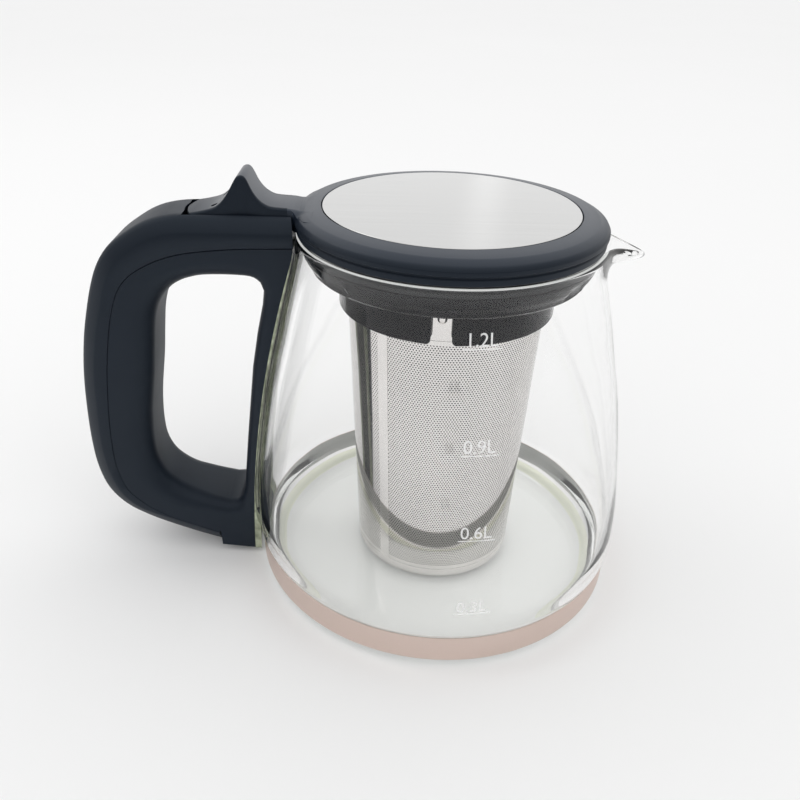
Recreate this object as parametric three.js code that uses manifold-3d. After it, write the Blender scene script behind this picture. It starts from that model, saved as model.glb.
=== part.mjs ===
// Glass tea brewing jug of 1.2 litres: hinged lid, D-shaped handle and lift-out steel infuser.
// Millimetres, +Z up. The origin is on the jug's axis, on the flat underside of the glass.
// The spout points along +X and the handle along -X.
import * as THREE from 'three';
import { mergeVertices } from 'three/addons/utils/BufferGeometryUtils.js';
import Module from 'manifold-3d';

const wasm = await Module();
wasm.setup();

// General clearances and facet counts
const seatGap = 0.3; // between pieces that rest on or beside each other
const overrun = 6; // how far a cutter reaches past what it cuts
const roundFacets = 40; // lid and infuser ring
const jugFacets = 56; // glass, band and infuser tube
const pinFacets = 16;
const arcFacets = 8; // a half-round edge
const degree = Math.PI / 180;

// Glass jug
const baseRadius = 66; // over the metal base band
const jugHeight = 128; // rim above the ground
const wallThickness = 2;
const floorThickness = 3.5;
const bandWall = 0.5;
const bandBottomShare = 0.0235; // band's lower edge, as a share of the jug's height
const bandTopShare = 0.0953;
const spoutReach = 15; // how far the pouring lip is drawn out of the neck
const spoutDroop = 5.5; // how far the tip of the lip hangs below the rim
const spoutHeight = 12; // the lip starts this far below the rim
const spoutRise = 11; // height over which the lip grows to its full reach
const spoutFloor = 1.4; // extra glass under the pouring channel
const spoutAngle = 6.5 * degree; // angle over which the lip narrows
const spoutTipAngle = 2 * degree; // rounding of its tip
const facetCrowdingShare = 0.65; // how strongly the facets gather at the spout

// Outside of the glass: [share of jugHeight, share of baseRadius]
const glassShares = [
  [0.000, 0.910], [0.009, 0.958], [0.023, 0.984], [0.090, 0.987], [0.099, 0.991],
  [0.113, 1.015], [0.133, 1.024], [0.180, 1.026], [0.242, 1.023], [0.313, 1.012],
  [0.375, 1.000], [0.438, 0.986], [0.500, 0.971], [0.563, 0.953], [0.617, 0.933],
  [0.703, 0.900], [0.781, 0.867], [0.865, 0.830], [0.922, 0.808], [0.969, 0.793],
  [0.991, 0.789],
];
// Inside lower corner of the glass: [share of jugHeight, share of baseRadius]
const heelShares = [[0.141, 0.991], [0.094, 0.979], [0.059, 0.945], [0.038, 0.894], [0.029, 0.833]];
// Rounding of the rim: [share of half its wall, share of its height]
const rimShares = [[0.33, 0.75], [1, 1], [1.67, 0.75]];
const neckRadius = glassShares.at(-1)[1] * baseRadius;
const bandBottom = bandBottomShare * jugHeight;
const bandTop = bandTopShare * jugHeight;

// Lid
const lidRise = 8.9; // lid's top above the rim
const lidLift = 0.5; // lid's lower edge above the rim
const lidOverhang = 0.4; // lid's edge beyond the glass
const lidSkirtWall = 1.6;
const lidWebHeight = 3.2; // thickness of the lid's web under its plate
const plateInset = 9.4; // from the lid's edge to its steel plate
const plateThickness = 0.8;
const lidRadius = neckRadius + lidOverhang;
const lidSkirtInner = lidRadius - lidSkirtWall;
const lidBottom = jugHeight + lidLift;
const lidTop = jugHeight + lidRise;
const plateRadius = lidRadius - plateInset;
const plateSeat = lidTop - plateThickness - seatGap;
const lidWebBottom = plateSeat - lidWebHeight;

// Section of the lid's rim from the plate outwards: [share of the rim's width, share of its height]
const lidRimShares = [
  [0.030, 1.000], [0.300, 0.965], [0.600, 0.895], [0.800, 0.810], [0.930, 0.700], [1.000, 0.560],
  [1.000, 0.420], [0.980, 0.360], [0.880, 0.310], [0.880, 0.270], [0.918, 0.225], [0.923, 0.170],
  [0.923, 0.035], [0.900, 0.000],
];

// Lid arm, thumb tab and hinge
const armRise = 2.3; // arm's top above the handle
const handleDrop = 2.5; // handle's top below the lid's top
const thumbRise = 10.6; // thumb tab above the arm
const armGap = 1.4; // arm's underside above the rim
const tongueHalfWidth = 8.6;
const tongueSideGap = 0.4;
const lidSideGap = 1; // between the lid's edge and the handle
const tongueEndGap = 1;
const tongueTail = 7.5; // from the hinge axis to the tongue's free end
const tongueEndBow = 2.3; // how far its free end bows out, in plan
const tongueSkin = 3.6; // from the hinge axis to the underside of the tongue
const tabHoleRadius = 1.2;
const tabHoleSide = 4.3; // blind holes from the tongue's middle
const tabHoleNear = 2.1; // the near hole beyond the hinge axis
const tabHoleFar = 4.6; // the far hole, which sits higher on the slope
const tabHoleFloor = 0.4; // bottom of the blind holes above the handle's top
const hingeReach = 28; // from the lid's edge to the hinge axis
const hingeDepth = 4.8; // hinge axis below the handle's top
const pinRadius = 1.5;
const pinHalfLength = 7.2;
const knuckleWall = 1.8;
const knuckleHalfWidth = 3.9;
const cradleHalfLength = 3;
const cradleRise = 0.6; // how far the cradles rise above the hinge axis
const tailPocketDepth = 6.4; // below the hinge axis
const handleTop = lidTop - handleDrop;
const armBottom = jugHeight + armGap;
const hingeX = -(lidRadius + hingeReach);
const hingeZ = handleTop - hingeDepth;
const knuckleRadius = pinRadius + knuckleWall;
const tongueEnd = -hingeX + tongueTail;

// Top line of tongue, thumb tab and arm: [share of the way from the tongue's end to the jug's axis,
// height share: 0 to 1 over armRise, 1 to 2 over thumbRise]
const tabShares = [
  [0.000, -0.08], [0.034, 0.08], [0.064, 0.30], [0.099, 0.645], [0.125, 1.027], [0.148, 1.208],
  [0.170, 1.472], [0.188, 1.744], [0.198, 1.915], [0.207, 1.985], [0.218, 2.000], [0.230, 1.975],
  [0.238, 1.880], [0.246, 1.745], [0.259, 1.500], [0.280, 1.274], [0.302, 1.123], [0.326, 1.038],
  [0.364, 1.000], [0.400, 0.950], [0.430, 0.800], [0.500, 0.660],
];
// Plan of the arm where it runs into the lid: [share of the lid's radius, share of the arm's half width]
const flareShares = [[1.007, 1], [0.983, 1.1], [0.965, 1.28], [0.945, 1.5], [0.87, 1.2]];

// Lid plug, gasket and screws
const plugDepth = 6.4; // plug's floor below the rim
const plugWall = 1.8;
const plugGap = 1.8; // between the plug and the infuser ring's mouth
const gasketDepth = 1.2; // groove in the plug
const gasketHeight = 2.6;
const gasketDrop = 4; // groove's lower edge below the rim
const lidScrewCount = 3;
const lidScrewInset = 13; // from the plate's edge to the screws

// Infuser
const flangeInset = 1.45; // flange's edge inside the glass's outer face
const flangeThickness = 1.05;
const sealGap = 0.3; // seal inside the glass
const sealThickness = 2;
const sealHeight = 4;
const mouthInset = 3.8; // from the seal's edge to the ring's mouth
const shoulderDepth = 11.6; // ring's lower shoulder below the rim
const skirtInset = 8.8; // from the mouth to the skirt
const skirtWall = 1.7;
const skirtHeight = 13.6;
const recessHalfWidth = 6.5; // shallow finger recesses in the ring's lower tier
const recessDepth = 0.85;
const recessDrop = 5.2; // their upper edge below the rim
const recessHeight = 6.3;
const slotHalfWidth = 3.3;
const slotHeight = 10.7;
const slotCorner = 2;
const slotCount = 3;
const slotAzimuth = -96 * degree;
const recessAzimuths = [38, 142, -38, -142].map((angle) => angle * degree);
const collarGap = 0.8; // between skirt and collar
const collarWall = 1.2;
const collarDrop = 3.6; // collar's top below the ring's shoulder
const tubeStep = 0.5; // tube inside the collar's outer face
const tubeTaper = 5.1; // tube's radius at the top less that at the bottom
const tubeWall = 0.6;
const tubeLap = 0.1; // tube's top above the skirt's lower edge
const dimpleRadius = 1.6;
const dimpleDrop = 1.8; // dimples below the collar's top
const seamAzimuth = -131 * degree; // the seam lies on the facet of the tube that faces this way
const seamThickness = 0.3;
const seamLift = 0.06;
const infuserClearance = 2.1; // between the infuser and the jug's floor
const capHeight = 4.9;
const capWall = 0.7;

const ringBottom = jugHeight + seatGap;
const ringTop = ringBottom + flangeThickness;
const flangeRadius = neckRadius - flangeInset;
const sealRadius = neckRadius - wallThickness - sealGap;
const sealBottom = jugHeight - sealHeight;
const ringMouth = sealRadius - mouthInset;
const shoulderZ = jugHeight - shoulderDepth;
const skirtRadius = ringMouth - skirtInset;
const skirtBottom = shoulderZ - skirtHeight;
const slotTop = skirtBottom + slotHeight;
const collarRadius = skirtRadius - skirtWall - collarGap;
const collarTop = shoulderZ - collarDrop;
const tubeTopRadius = collarRadius - tubeStep;
const tubeBottomRadius = tubeTopRadius - tubeTaper;
const tubeTop = skirtBottom + tubeLap;
const capBottom = floorThickness + infuserClearance;
const tubeBottom = capBottom + capHeight + seatGap;
const plugRadius = ringMouth - plugGap;
const gasketRadius = ringMouth - seatGap;
const plugBottom = jugHeight - plugDepth;
const plugFlangeRadius = flangeRadius - seatGap;
const gasketBottom = jugHeight - gasketDrop;
const gasketTop = gasketBottom + gasketHeight;

// Outside of the infuser ring below its seal: [share of the way from skirt to mouth, share of shoulderDepth]
const ringTierShares = [
  [1.36, -0.370], [1.375, -0.470], [1.28, -0.680], [1.12, -0.850], [1.070, -0.955], [1.02, -1.030],
  [0.20, -1.100], [0.05, -1.140], [0.00, -1.200],
];
// Inside of the ring from the collar up to its mouth, in the same shares
const ringMouthShares = [[-0.33, -1.080], [-0.24, -1.050], [0.70, -0.905], [0.86, -0.800], [1.00, -0.450]];
// Wall of the lower cap: [share of its radius, share of its height]
const capShares = [[0.910, 0.000], [0.972, 0.160], [0.996, 0.480], [1.000, 1.000]];

// Handle
const gripDepth = 62; // from the base band to the grip's outer face
const handleHalfWidth = 13;
const handleTopHalfWidth = 10;
const edgeRound = 4.9; // depth of the rounding on the cover's outer edges
const openingRound = 4.6; // depth of the rounding round the finger opening
const bondThickness = 0.7; // clear adhesive between glass and handle
const bondHalfAngle = 9 * degree;
const bondInset = 7; // ends of the adhesive, from the rim and from the band
const bondShares = [-1, -0.5, 0, 0.5, 1]; // corners across the adhesive, of its half angle

// Grip outlines from the side. Heights are shares of handleTop. Distances from the jug's axis are shares
// that run from the axis to the base band at bandShare and on over gripDepth to 1.
const bandShare = 0.515625;
// [opening x, opening z, seam x, seam z, outer face x, outer face z]
const gripShares = [
  [0.497, 0.827, 0.352, 0.926, 0.352, 1.000], [0.523, 0.841, 0.453, 0.924, 0.453, 1.000],
  [0.590, 0.842, 0.560, 0.920, 0.562, 1.000], [0.645, 0.839, 0.658, 0.910, 0.672, 0.999],
  [0.676, 0.833, 0.707, 0.901, 0.738, 0.993], [0.703, 0.824, 0.750, 0.888, 0.792, 0.977],
  [0.728, 0.810, 0.792, 0.869, 0.844, 0.947], [0.748, 0.791, 0.830, 0.845, 0.889, 0.912],
  [0.764, 0.769, 0.856, 0.817, 0.921, 0.869], [0.776, 0.744, 0.875, 0.781, 0.945, 0.812],
  [0.786, 0.703, 0.891, 0.728, 0.967, 0.732], [0.793, 0.640, 0.905, 0.658, 0.984, 0.650],
  [0.801, 0.558, 0.917, 0.573, 0.996, 0.551], [0.816, 0.446, 0.926, 0.461, 1.000, 0.446],
  [0.820, 0.357, 0.928, 0.371, 0.998, 0.342], [0.813, 0.290, 0.923, 0.283, 0.988, 0.260],
  [0.791, 0.244, 0.899, 0.208, 0.963, 0.190], [0.759, 0.215, 0.852, 0.160, 0.917, 0.138],
  [0.727, 0.197, 0.812, 0.134, 0.859, 0.103], [0.695, 0.185, 0.770, 0.113, 0.797, 0.076],
  [0.656, 0.172, 0.711, 0.092, 0.719, 0.048], [0.613, 0.162, 0.641, 0.068, 0.641, 0.024],
];
// Foot and glass-side strip of the frame: [opening x, opening z, outside x, outside z]
const stripShares = [
  [0.611, 0.162, 0.636, 0.070], [0.609, 0.161, 0.633, 0.025], [0.586, 0.163, 0.516, 0.015],
  [0.570, 0.176, 0.453, 0.037], [0.562, 0.208, 0.438, 0.179], [0.556, 0.283, 0.438, 0.283],
  [0.547, 0.379, 0.438, 0.379], [0.536, 0.484, 0.422, 0.484], [0.525, 0.588, 0.406, 0.588],
  [0.509, 0.685, 0.391, 0.685], [0.492, 0.766, 0.375, 0.774], [0.488, 0.804, 0.359, 0.848],
];
// Rounded edges in section: [share of the rounding's depth, share of the rounding's inset]
const openingEdgeShares = [[0, 1], [0.15, 0.6], [0.45, 0.25], [1, 0]];
const coverEdgeShares = [[1, 0], [0.55, 0.3], [0.18, 0.72], [0, 1]];

// Screws
const screwHeadRadius = 2.8;
const screwHeadHeight = 1.4;
const screwShankRadius = 1.4;
const screwHoleGap = 0.3;
const crossWidth = 0.8;
const crossLength = 3.2;
const crossDepth = 0.9;
const lidScrewLength = 7.5;
const handleScrewLength = 10;
const topScrewReach = 9.5; // from the lid's edge to the upper handle screw
const bottomScrewReach = 25; // from the base band to the lower handle screw
const bottomScrewSink = 2.4; // lower screw's head above the handle's underside
const screwHoleRadius = screwShankRadius + screwHoleGap;
const screwRoomRadius = screwHeadRadius + screwHoleGap;
const lidScrewCircle = plateRadius - lidScrewInset;
const lidScrewZ = plateSeat - screwHeadHeight - seatGap;
const topScrewX = -(lidRadius + topScrewReach);
const topScrewZ = armBottom - tongueSideGap - screwHeadHeight;
const bottomScrewX = -(baseRadius + bottomScrewReach);

// Solids from three.js geometries

function toSolid(geometry) {
  const bare = geometry.clone();
  for (const name of ['normal', 'uv']) bare.deleteAttribute(name);
  const merged = mergeVertices(bare);
  const corners = Array.from(merged.index.array);
  const triangles = [];
  for (let i = 0; i < corners.length; i += 3) {
    const [a, b, c] = corners.slice(i, i + 3);
    if (a !== b && b !== c && c !== a) triangles.push([a, b, c]);
  }
  const points = merged.attributes.position;
  const turned = signedVolume(points, triangles) < 0;
  const triVerts = new Uint32Array(triangles.flatMap(([a, b, c]) => (turned ? [a, c, b] : [a, b, c])));
  const vertProperties = new Float32Array(points.array);
  return new wasm.Manifold(new wasm.Mesh({ numProp: 3, vertProperties, triVerts }));
}

function signedVolume(points, triangles) {
  const [p, q, r] = [new THREE.Vector3(), new THREE.Vector3(), new THREE.Vector3()];
  let sum = 0;
  for (const [a, b, c] of triangles) {
    p.fromBufferAttribute(points, a);
    q.fromBufferAttribute(points, b);
    r.fromBufferAttribute(points, c);
    sum += p.dot(q.cross(r));
  }
  return sum;
}

function toGeometry(solid) {
  const { vertProperties, triVerts } = solid.getMesh();
  const geometry = new THREE.BufferGeometry();
  geometry.setAttribute('position', new THREE.BufferAttribute(new Float32Array(vertProperties), 3));
  geometry.setIndex(new THREE.BufferAttribute(new Uint32Array(triVerts), 1));
  geometry.computeVertexNormals();
  return geometry;
}

// Turns a profile of [radius, z] points about the Z axis
function revolve(profile, facets = roundFacets) {
  return toSolid(revolvedGeometry(profile, facets).rotateX(Math.PI / 2));
}

function revolvedGeometry(profile, facets) {
  const points = profile.map(([radius, z]) => new THREE.Vector2(radius, z));
  const onAxis = profile[0][0] === 0 && profile.at(-1)[0] === 0;
  if (!onAxis) points.push(points[0].clone());
  return new THREE.LatheGeometry(points, facets);
}

// A solid disc or pillar on the jug's axis
function disc(radius, z0, z1, facets = roundFacets) {
  return revolve([[0, z0], [radius, z0], [radius, z1], [0, z1]], facets);
}

// Points given as shares of the way from r0 to r1 and from z0 to z1
function placed(shares, [r0, r1], [z0, z1]) {
  return shares.map(([across, up]) => [r0 + (r1 - r0) * across, z0 + (z1 - z0) * up]);
}

// Skins a row of equal rings of points, closed on itself or with flat ends
function loft(rings, closed) {
  const size = rings[0].length;
  const positions = rings.flat().flatMap((point) => point.toArray());
  const index = [];
  const spans = closed ? rings.length : rings.length - 1;
  for (let i = 0; i < spans; i += 1) {
    const here = i * size;
    const next = ((i + 1) % rings.length) * size;
    for (let j = 0; j < size; j += 1) {
      const k = (j + 1) % size;
      index.push(here + j, here + k, next + k, here + j, next + k, next + j);
    }
  }
  if (!closed) {
    const last = (rings.length - 1) * size;
    for (let j = 1; j < size - 1; j += 1) {
      index.push(0, j + 1, j, last, last + j, last + j + 1);
    }
  }
  const geometry = new THREE.BufferGeometry();
  geometry.setAttribute('position', new THREE.Float32BufferAttribute(positions, 3));
  geometry.setIndex(index);
  return toSolid(geometry);
}

function block(x0, x1, halfWidth, z0, z1) {
  const box = new THREE.BoxGeometry(x1 - x0, 2 * halfWidth, z1 - z0);
  return toSolid(box.translate((x0 + x1) / 2, 0, (z0 + z1) / 2));
}

function crossCylinder(radius, halfLength, x, z) {
  const cylinder = new THREE.CylinderGeometry(radius, radius, 2 * halfLength, pinFacets);
  return toSolid(cylinder.translate(x, 0, z));
}

function uprightCylinder(radius, x, y, z0, z1) {
  const cylinder = new THREE.CylinderGeometry(radius, radius, z1 - z0, pinFacets).rotateX(Math.PI / 2);
  return toSolid(cylinder.translate(x, y, (z0 + z1) / 2));
}

// An outline of [x, z] points given a width along Y
function sidePlate(outline, halfWidth) {
  const shape = new THREE.Shape(outline.map(([x, z]) => new THREE.Vector2(x, z)));
  const plate = new THREE.ExtrudeGeometry(shape, { depth: 2 * halfWidth, bevelEnabled: false });
  return toSolid(plate.rotateX(Math.PI / 2).translate(0, halfWidth, 0));
}

// An outline of [x, y] points given a height along Z
function planPlate(outline, z0, z1) {
  const shape = new THREE.Shape(outline.map(([x, y]) => new THREE.Vector2(x, y)));
  const plate = new THREE.ExtrudeGeometry(shape, { depth: z1 - z0, bevelEnabled: false });
  return toSolid(plate.translate(0, 0, z0));
}

function turnAbout(solid, angle) {
  return solid.rotate([0, 0, angle / degree]);
}

// Glass jug

const glassRows = glassShares.map(([z, radius]) => [z * jugHeight, radius * baseRadius]);

function glassRadius(z) {
  const after = glassRows.findIndex(([height]) => height > z);
  if (after < 0) return glassRows.at(-1)[1];
  if (after === 0) return glassRows[0][1];
  const [z0, r0] = glassRows[after - 1];
  const [z1, r1] = glassRows[after];
  return r0 + ((r1 - r0) * (z - z0)) / (z1 - z0);
}

function glassProfile() {
  const heel = heelShares.map(([z, radius]) => [radius * baseRadius, z * jugHeight]);
  const heelTop = heel[0][1];
  const outside = glassRows.map(([z, radius]) => [radius, z]);
  const rimZ = outside.at(-1)[1];
  const rim = placed(rimShares, [neckRadius, neckRadius - wallThickness / 2], [rimZ, jugHeight]);
  const inside = outside.filter(([, z], i) => z > heelTop && i % 2 === 0).reverse();
  const wall = inside.map(([radius, z]) => [radius - wallThickness, z]);
  return [[0, 0], ...outside, ...rim, ...wall, ...heel, [0, floorThickness]];
}

// How strongly the pouring lip shapes the glass, by height and by angle from +X
function spoutShare(z, angle) {
  const start = jugHeight - spoutHeight;
  const climb = THREE.MathUtils.smoothstep(z, start, start + spoutRise);
  const spread = Math.hypot(angle, spoutTipAngle) - spoutTipAngle;
  return climb * Math.exp(-spread / spoutAngle);
}

function glassJug() {
  const geometry = revolvedGeometry(glassProfile(), jugFacets).rotateX(Math.PI / 2);
  const points = geometry.attributes.position;
  for (let i = 0; i < points.count; i += 1) {
    const radius = Math.hypot(points.getX(i), points.getY(i));
    if (radius === 0) continue;
    const z = points.getZ(i);
    const evenAngle = Math.atan2(points.getY(i), points.getX(i));
    const angle = evenAngle - facetCrowdingShare * Math.sin(evenAngle);
    const inner = radius < glassRadius(z) - wallThickness / 2 && z < jugHeight - spoutFloor;
    const share = spoutShare(inner ? z - spoutFloor : z, angle);
    const reach = radius + spoutReach * share;
    points.setXYZ(i, reach * Math.cos(angle), reach * Math.sin(angle), z - spoutDroop * share);
  }
  return toSolid(geometry);
}

function baseBand() {
  const inner = baseRadius - bandWall;
  const edge = bandWall / 2;
  return revolve([
    [inner, bandBottom], [baseRadius - edge / 2, bandBottom], [baseRadius, bandBottom + edge],
    [baseRadius, bandTop - edge], [baseRadius - edge / 2, bandTop], [inner, bandTop],
  ], jugFacets);
}

// The glass grown outwards, to cut what sits against it
function glassEnvelope(clearance) {
  const wall = glassRows.map(([z, radius]) => [radius + clearance, z]);
  return revolve([
    [0, -overrun], [baseRadius + clearance, -overrun], [baseRadius + clearance, bandBottom],
    ...wall.filter(([, z]) => z > bandTop),
    [neckRadius + clearance, handleTop + overrun], [0, handleTop + overrun],
  ], jugFacets);
}

function handleBondStrip() {
  const low = bandTop + bondInset;
  const high = jugHeight - bondInset;
  const heights = [low, ...glassRows.map(([z]) => z).filter((z) => z > low && z < high), high];
  const angles = bondShares.map((share) => Math.PI + share * bondHalfAngle);
  return loft(heights.map((z) => shellRing(glassRadius(z), seatGap, bondThickness, angles, z)), false);
}

// One level of a thin strip that lies round the jug's axis: lift off the radius, thickness, span of angles
function shellRing(radius, lift, thickness, angles, z) {
  const at = (reach) => (angle) => new THREE.Vector3(reach * Math.cos(angle), reach * Math.sin(angle), z);
  const outward = [...angles].reverse();
  return [...angles.map(at(radius + lift)), ...outward.map(at(radius + lift + thickness))];
}

// Handle

function sideView(xShare, zShare) {
  const within = (xShare / bandShare) * baseRadius;
  const beyond = baseRadius + ((xShare - bandShare) / (1 - bandShare)) * gripDepth;
  return new THREE.Vector2(-(xShare < bandShare ? within : beyond), zShare * handleTop);
}

// One cross-section between two points of the side view: [distance from the first, half width]
function section(from, to, widths) {
  const along = to.clone().sub(from).normalize();
  const spot = ([distance, y], side) => {
    const point = from.clone().addScaledVector(along, distance);
    return new THREE.Vector3(point.x, side * y, point.y);
  };
  return [...widths.map((w) => spot(w, 1)), ...[...widths].reverse().map((w) => spot(w, -1))];
}

function frameSection([openX, openZ, outX, outZ]) {
  const from = sideView(openX, openZ);
  const to = sideView(outX, outZ);
  const widths = openingEdgeShares.map(([depth, inset]) => [
    depth * openingRound, handleHalfWidth - inset * openingRound,
  ]);
  return section(from, to, [...widths, [from.distanceTo(to), handleHalfWidth]]);
}

function coverSection([, , seamX, seamZ, outX, outZ]) {
  const from = sideView(seamX, seamZ);
  const to = sideView(outX, outZ);
  const depth = from.distanceTo(to);
  const narrowing = handleHalfWidth - handleTopHalfWidth;
  const widths = coverEdgeShares.map(([inward, share]) => [
    depth - inward * edgeRound, handleHalfWidth - share * narrowing,
  ]);
  return section(from, to, [[seatGap, handleHalfWidth], ...widths]);
}

// Plan of the lid's tongue with its bowed end, grown by the two gaps
function tonguePlan(sideGap, endGap, rightEnd) {
  const halfWidth = tongueHalfWidth + sideGap;
  const end = Array.from({ length: arcFacets + 1 }, (_, i) => {
    const across = 1 - (2 * i) / arcFacets;
    return [tongueEndBow * across ** 2 - tongueEnd - endGap, halfWidth * across];
  });
  return [[rightEnd, halfWidth], ...end, [rightEnd, -halfWidth]];
}

// Room that the tongue's tail sweeps below the handle's top as the lid opens, turned about the hinge axis
function tailSweep() {
  const end = tonguePlan(tongueSideGap, 0, 0).slice(1, -1);
  const points = end.map(([x, y]) => [Math.hypot(x - hingeX, hingeDepth) + tongueSideGap, y]);
  const lathe = revolvedGeometry([[0, points[0][1]], ...points, [0, points.at(-1)[1]]], jugFacets);
  const sweep = toSolid(lathe.translate(hingeX, 0, hingeZ));
  const left = hingeX - cradleHalfLength;
  return sweep.intersect(block(-tongueEnd - overrun, left, handleHalfWidth,
    hingeZ - tailPocketDepth, handleTop + overrun));
}

// Recess in the handle's top for the lid's tongue, hinge and arm
function hingeRecess() {
  const above = handleTop + overrun;
  const slotWidth = tongueHalfWidth + tongueSideGap;
  const notch = pinRadius + seatGap;
  const rightEnd = -lidRadius + overrun;
  const tailSide = hingeX - cradleHalfLength;
  const cradleTop = hingeZ + cradleRise;
  const pocketFloor = hingeZ - tailPocketDepth;
  const knuckleRoom = knuckleRadius + tongueSideGap;
  const slot = planPlate(tonguePlan(tongueSideGap, tongueEndGap, rightEnd), cradleTop, above);
  const tailPocket = planPlate(tonguePlan(tongueSideGap, tongueEndGap, tailSide), pocketFloor, above);
  const armSlot = block(hingeX + cradleHalfLength, rightEnd, slotWidth, armBottom - tongueSideGap, above);
  const knucklePocket = block(hingeX - knuckleRoom, hingeX + knuckleRoom,
    knuckleHalfWidth + tongueSideGap, hingeZ - knuckleRoom, above);
  const pinNotch = block(hingeX - notch, hingeX + notch, pinHalfLength + seatGap, hingeZ, above)
    .add(crossCylinder(notch, pinHalfLength + seatGap, hingeX, hingeZ));
  return slot.add(tailPocket).add(tailSweep()).add(armSlot).add(knucklePocket).add(pinNotch);
}

// Height of the cover's underside at a place along the handle's foot
function footHeight(x) {
  const foot = gripShares.slice(-4).map(([, , , , outX, outZ]) => sideView(outX, outZ));
  const after = foot.findIndex((point) => point.x > x);
  const [a, b] = [foot[Math.max(after, 1) - 1], foot[Math.max(after, 1)]];
  return a.y + ((b.y - a.y) * (x - a.x)) / (b.x - a.x);
}

const bottomScrewZ = footHeight(bottomScrewX) + bottomScrewSink + screwHeadHeight;

function handleHoles() {
  const topTip = topScrewZ - handleScrewLength - seatGap;
  const bottomTip = bottomScrewZ + handleScrewLength + seatGap;
  return uprightCylinder(screwHoleRadius, topScrewX, 0, topTip, handleTop)
    .add(uprightCylinder(screwRoomRadius, topScrewX, 0, topScrewZ - seatGap, handleTop))
    .add(uprightCylinder(screwHoleRadius, bottomScrewX, 0, -overrun, bottomTip))
    .add(uprightCylinder(screwRoomRadius, bottomScrewX, 0, -overrun, bottomScrewZ + seatGap));
}

function clearOfJug(solid) {
  const lidSpace = disc(lidRadius + lidSideGap, lidBottom - seatGap, handleTop + overrun, jugFacets);
  return solid.subtract(glassEnvelope(bondThickness + 2 * seatGap)).subtract(lidSpace);
}

function handleFrame() {
  const rings = [...gripShares, ...stripShares].map((row) => frameSection(row));
  return clearOfJug(loft(rings, true)).subtract(handleHoles());
}

function handleCover() {
  const body = loft(gripShares.map(coverSection), false);
  return clearOfJug(body).subtract(hingeRecess()).subtract(handleHoles());
}

// Screw with a cross recess, head up, its underside of head at z
function screw(x, y, z, length, headUp) {
  const way = headUp ? 1 : -1;
  const far = z - way * length;
  const head = z + way * screwHeadHeight;
  const between = (a, b) => [Math.min(a, b), Math.max(a, b)];
  const shank = uprightCylinder(screwShankRadius, x, y, ...between(far, z + (way * screwHeadHeight) / 2));
  const cap = uprightCylinder(screwHeadRadius, x, y, ...between(z, head));
  const [low, high] = between(head - way * crossDepth, head + way * overrun);
  const cross = (width, depth) => toSolid(new THREE.BoxGeometry(width, depth, high - low)
    .translate(x, y, (low + high) / 2));
  return shank.add(cap).subtract(cross(crossWidth, crossLength)).subtract(cross(crossLength, crossWidth));
}

// Lid

const lidScrewSpots = Array.from({ length: lidScrewCount }, (_, i) => {
  const angle = (2 * Math.PI * i) / lidScrewCount;
  return [lidScrewCircle * Math.cos(angle), lidScrewCircle * Math.sin(angle)];
});

function lidRing() {
  const recess = plateRadius + seatGap;
  const rim = placed(lidRimShares, [recess, lidRadius], [lidBottom, lidTop]);
  return revolve([
    [0, lidWebBottom], [lidSkirtInner, lidWebBottom], [lidSkirtInner, lidBottom],
    ...rim.reverse(), [recess, plateSeat], [0, plateSeat],
  ]);
}

// Plan of the arm: the tongue's outline, flared where it runs into the lid's rim
function armPlan() {
  const tongue = tonguePlan(0, 0, 0).slice(1, -1);
  const edge = flareShares.map(([reach, width]) => [-lidRadius * reach, tongueHalfWidth * width]);
  const mirrored = edge.map(([x, y]) => [x, -y]);
  return [...[...edge].reverse(), ...tongue, ...mirrored];
}

function lidArm() {
  const height = (share) => handleTop + armRise * Math.min(share, 1) + thumbRise * Math.max(share - 1, 0);
  const top = tabShares.map(([along, share]) => [-tongueEnd * (1 - along), height(share)]);
  const rightEnd = top.at(-1)[0];
  const step = hingeX + knuckleRadius + seatGap;
  const skin = hingeZ + tongueSkin;
  const underside = [[rightEnd, armBottom], [step, armBottom], [step, skin], [-tongueEnd, skin]];
  const peak = handleTop + armRise + thumbRise;
  const plan = planPlate(armPlan(), lidBottom - overrun, peak + overrun);
  const plate = sidePlate([...top, ...underside], lidRadius).intersect(plan);
  const [left, right] = [hingeX - knuckleRadius, hingeX + knuckleRadius];
  const web = block(left, right, knuckleHalfWidth, hingeZ, skin + seatGap);
  return plate.add(web).add(crossCylinder(knuckleRadius, knuckleHalfWidth, hingeX, hingeZ));
}

function lidCover() {
  const above = lidTop + thumbRise;
  const skirtRoom = disc(lidSkirtInner + lidSkirtWall / 8, plugBottom, (lidWebBottom + plateSeat) / 2);
  let lid = lidRing().add(lidArm().subtract(skirtRoom))
    .subtract(disc(plateRadius + seatGap, plateSeat, above))
    .subtract(crossCylinder(pinRadius + seatGap, lidRadius, hingeX, hingeZ));
  for (const [x, y] of [[tabHoleNear, -tabHoleSide], [tabHoleFar, tabHoleSide]]) {
    lid = lid.subtract(uprightCylinder(tabHoleRadius, hingeX + x, y, handleTop + tabHoleFloor, above));
  }
  for (const [x, y] of lidScrewSpots) {
    lid = lid.subtract(uprightCylinder(screwHoleRadius, x, y, plugBottom, lidTop));
    lid = lid.subtract(uprightCylinder(screwRoomRadius, x, y, lidScrewZ - seatGap, lidTop));
  }
  return lid;
}

function lidPlate() {
  const bottom = lidTop - plateThickness;
  const edge = plateThickness / 4;
  return revolve([
    [0, bottom], [plateRadius - edge, bottom], [plateRadius, bottom + edge],
    [plateRadius, lidTop - edge], [plateRadius - edge, lidTop], [0, lidTop],
  ]);
}

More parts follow.
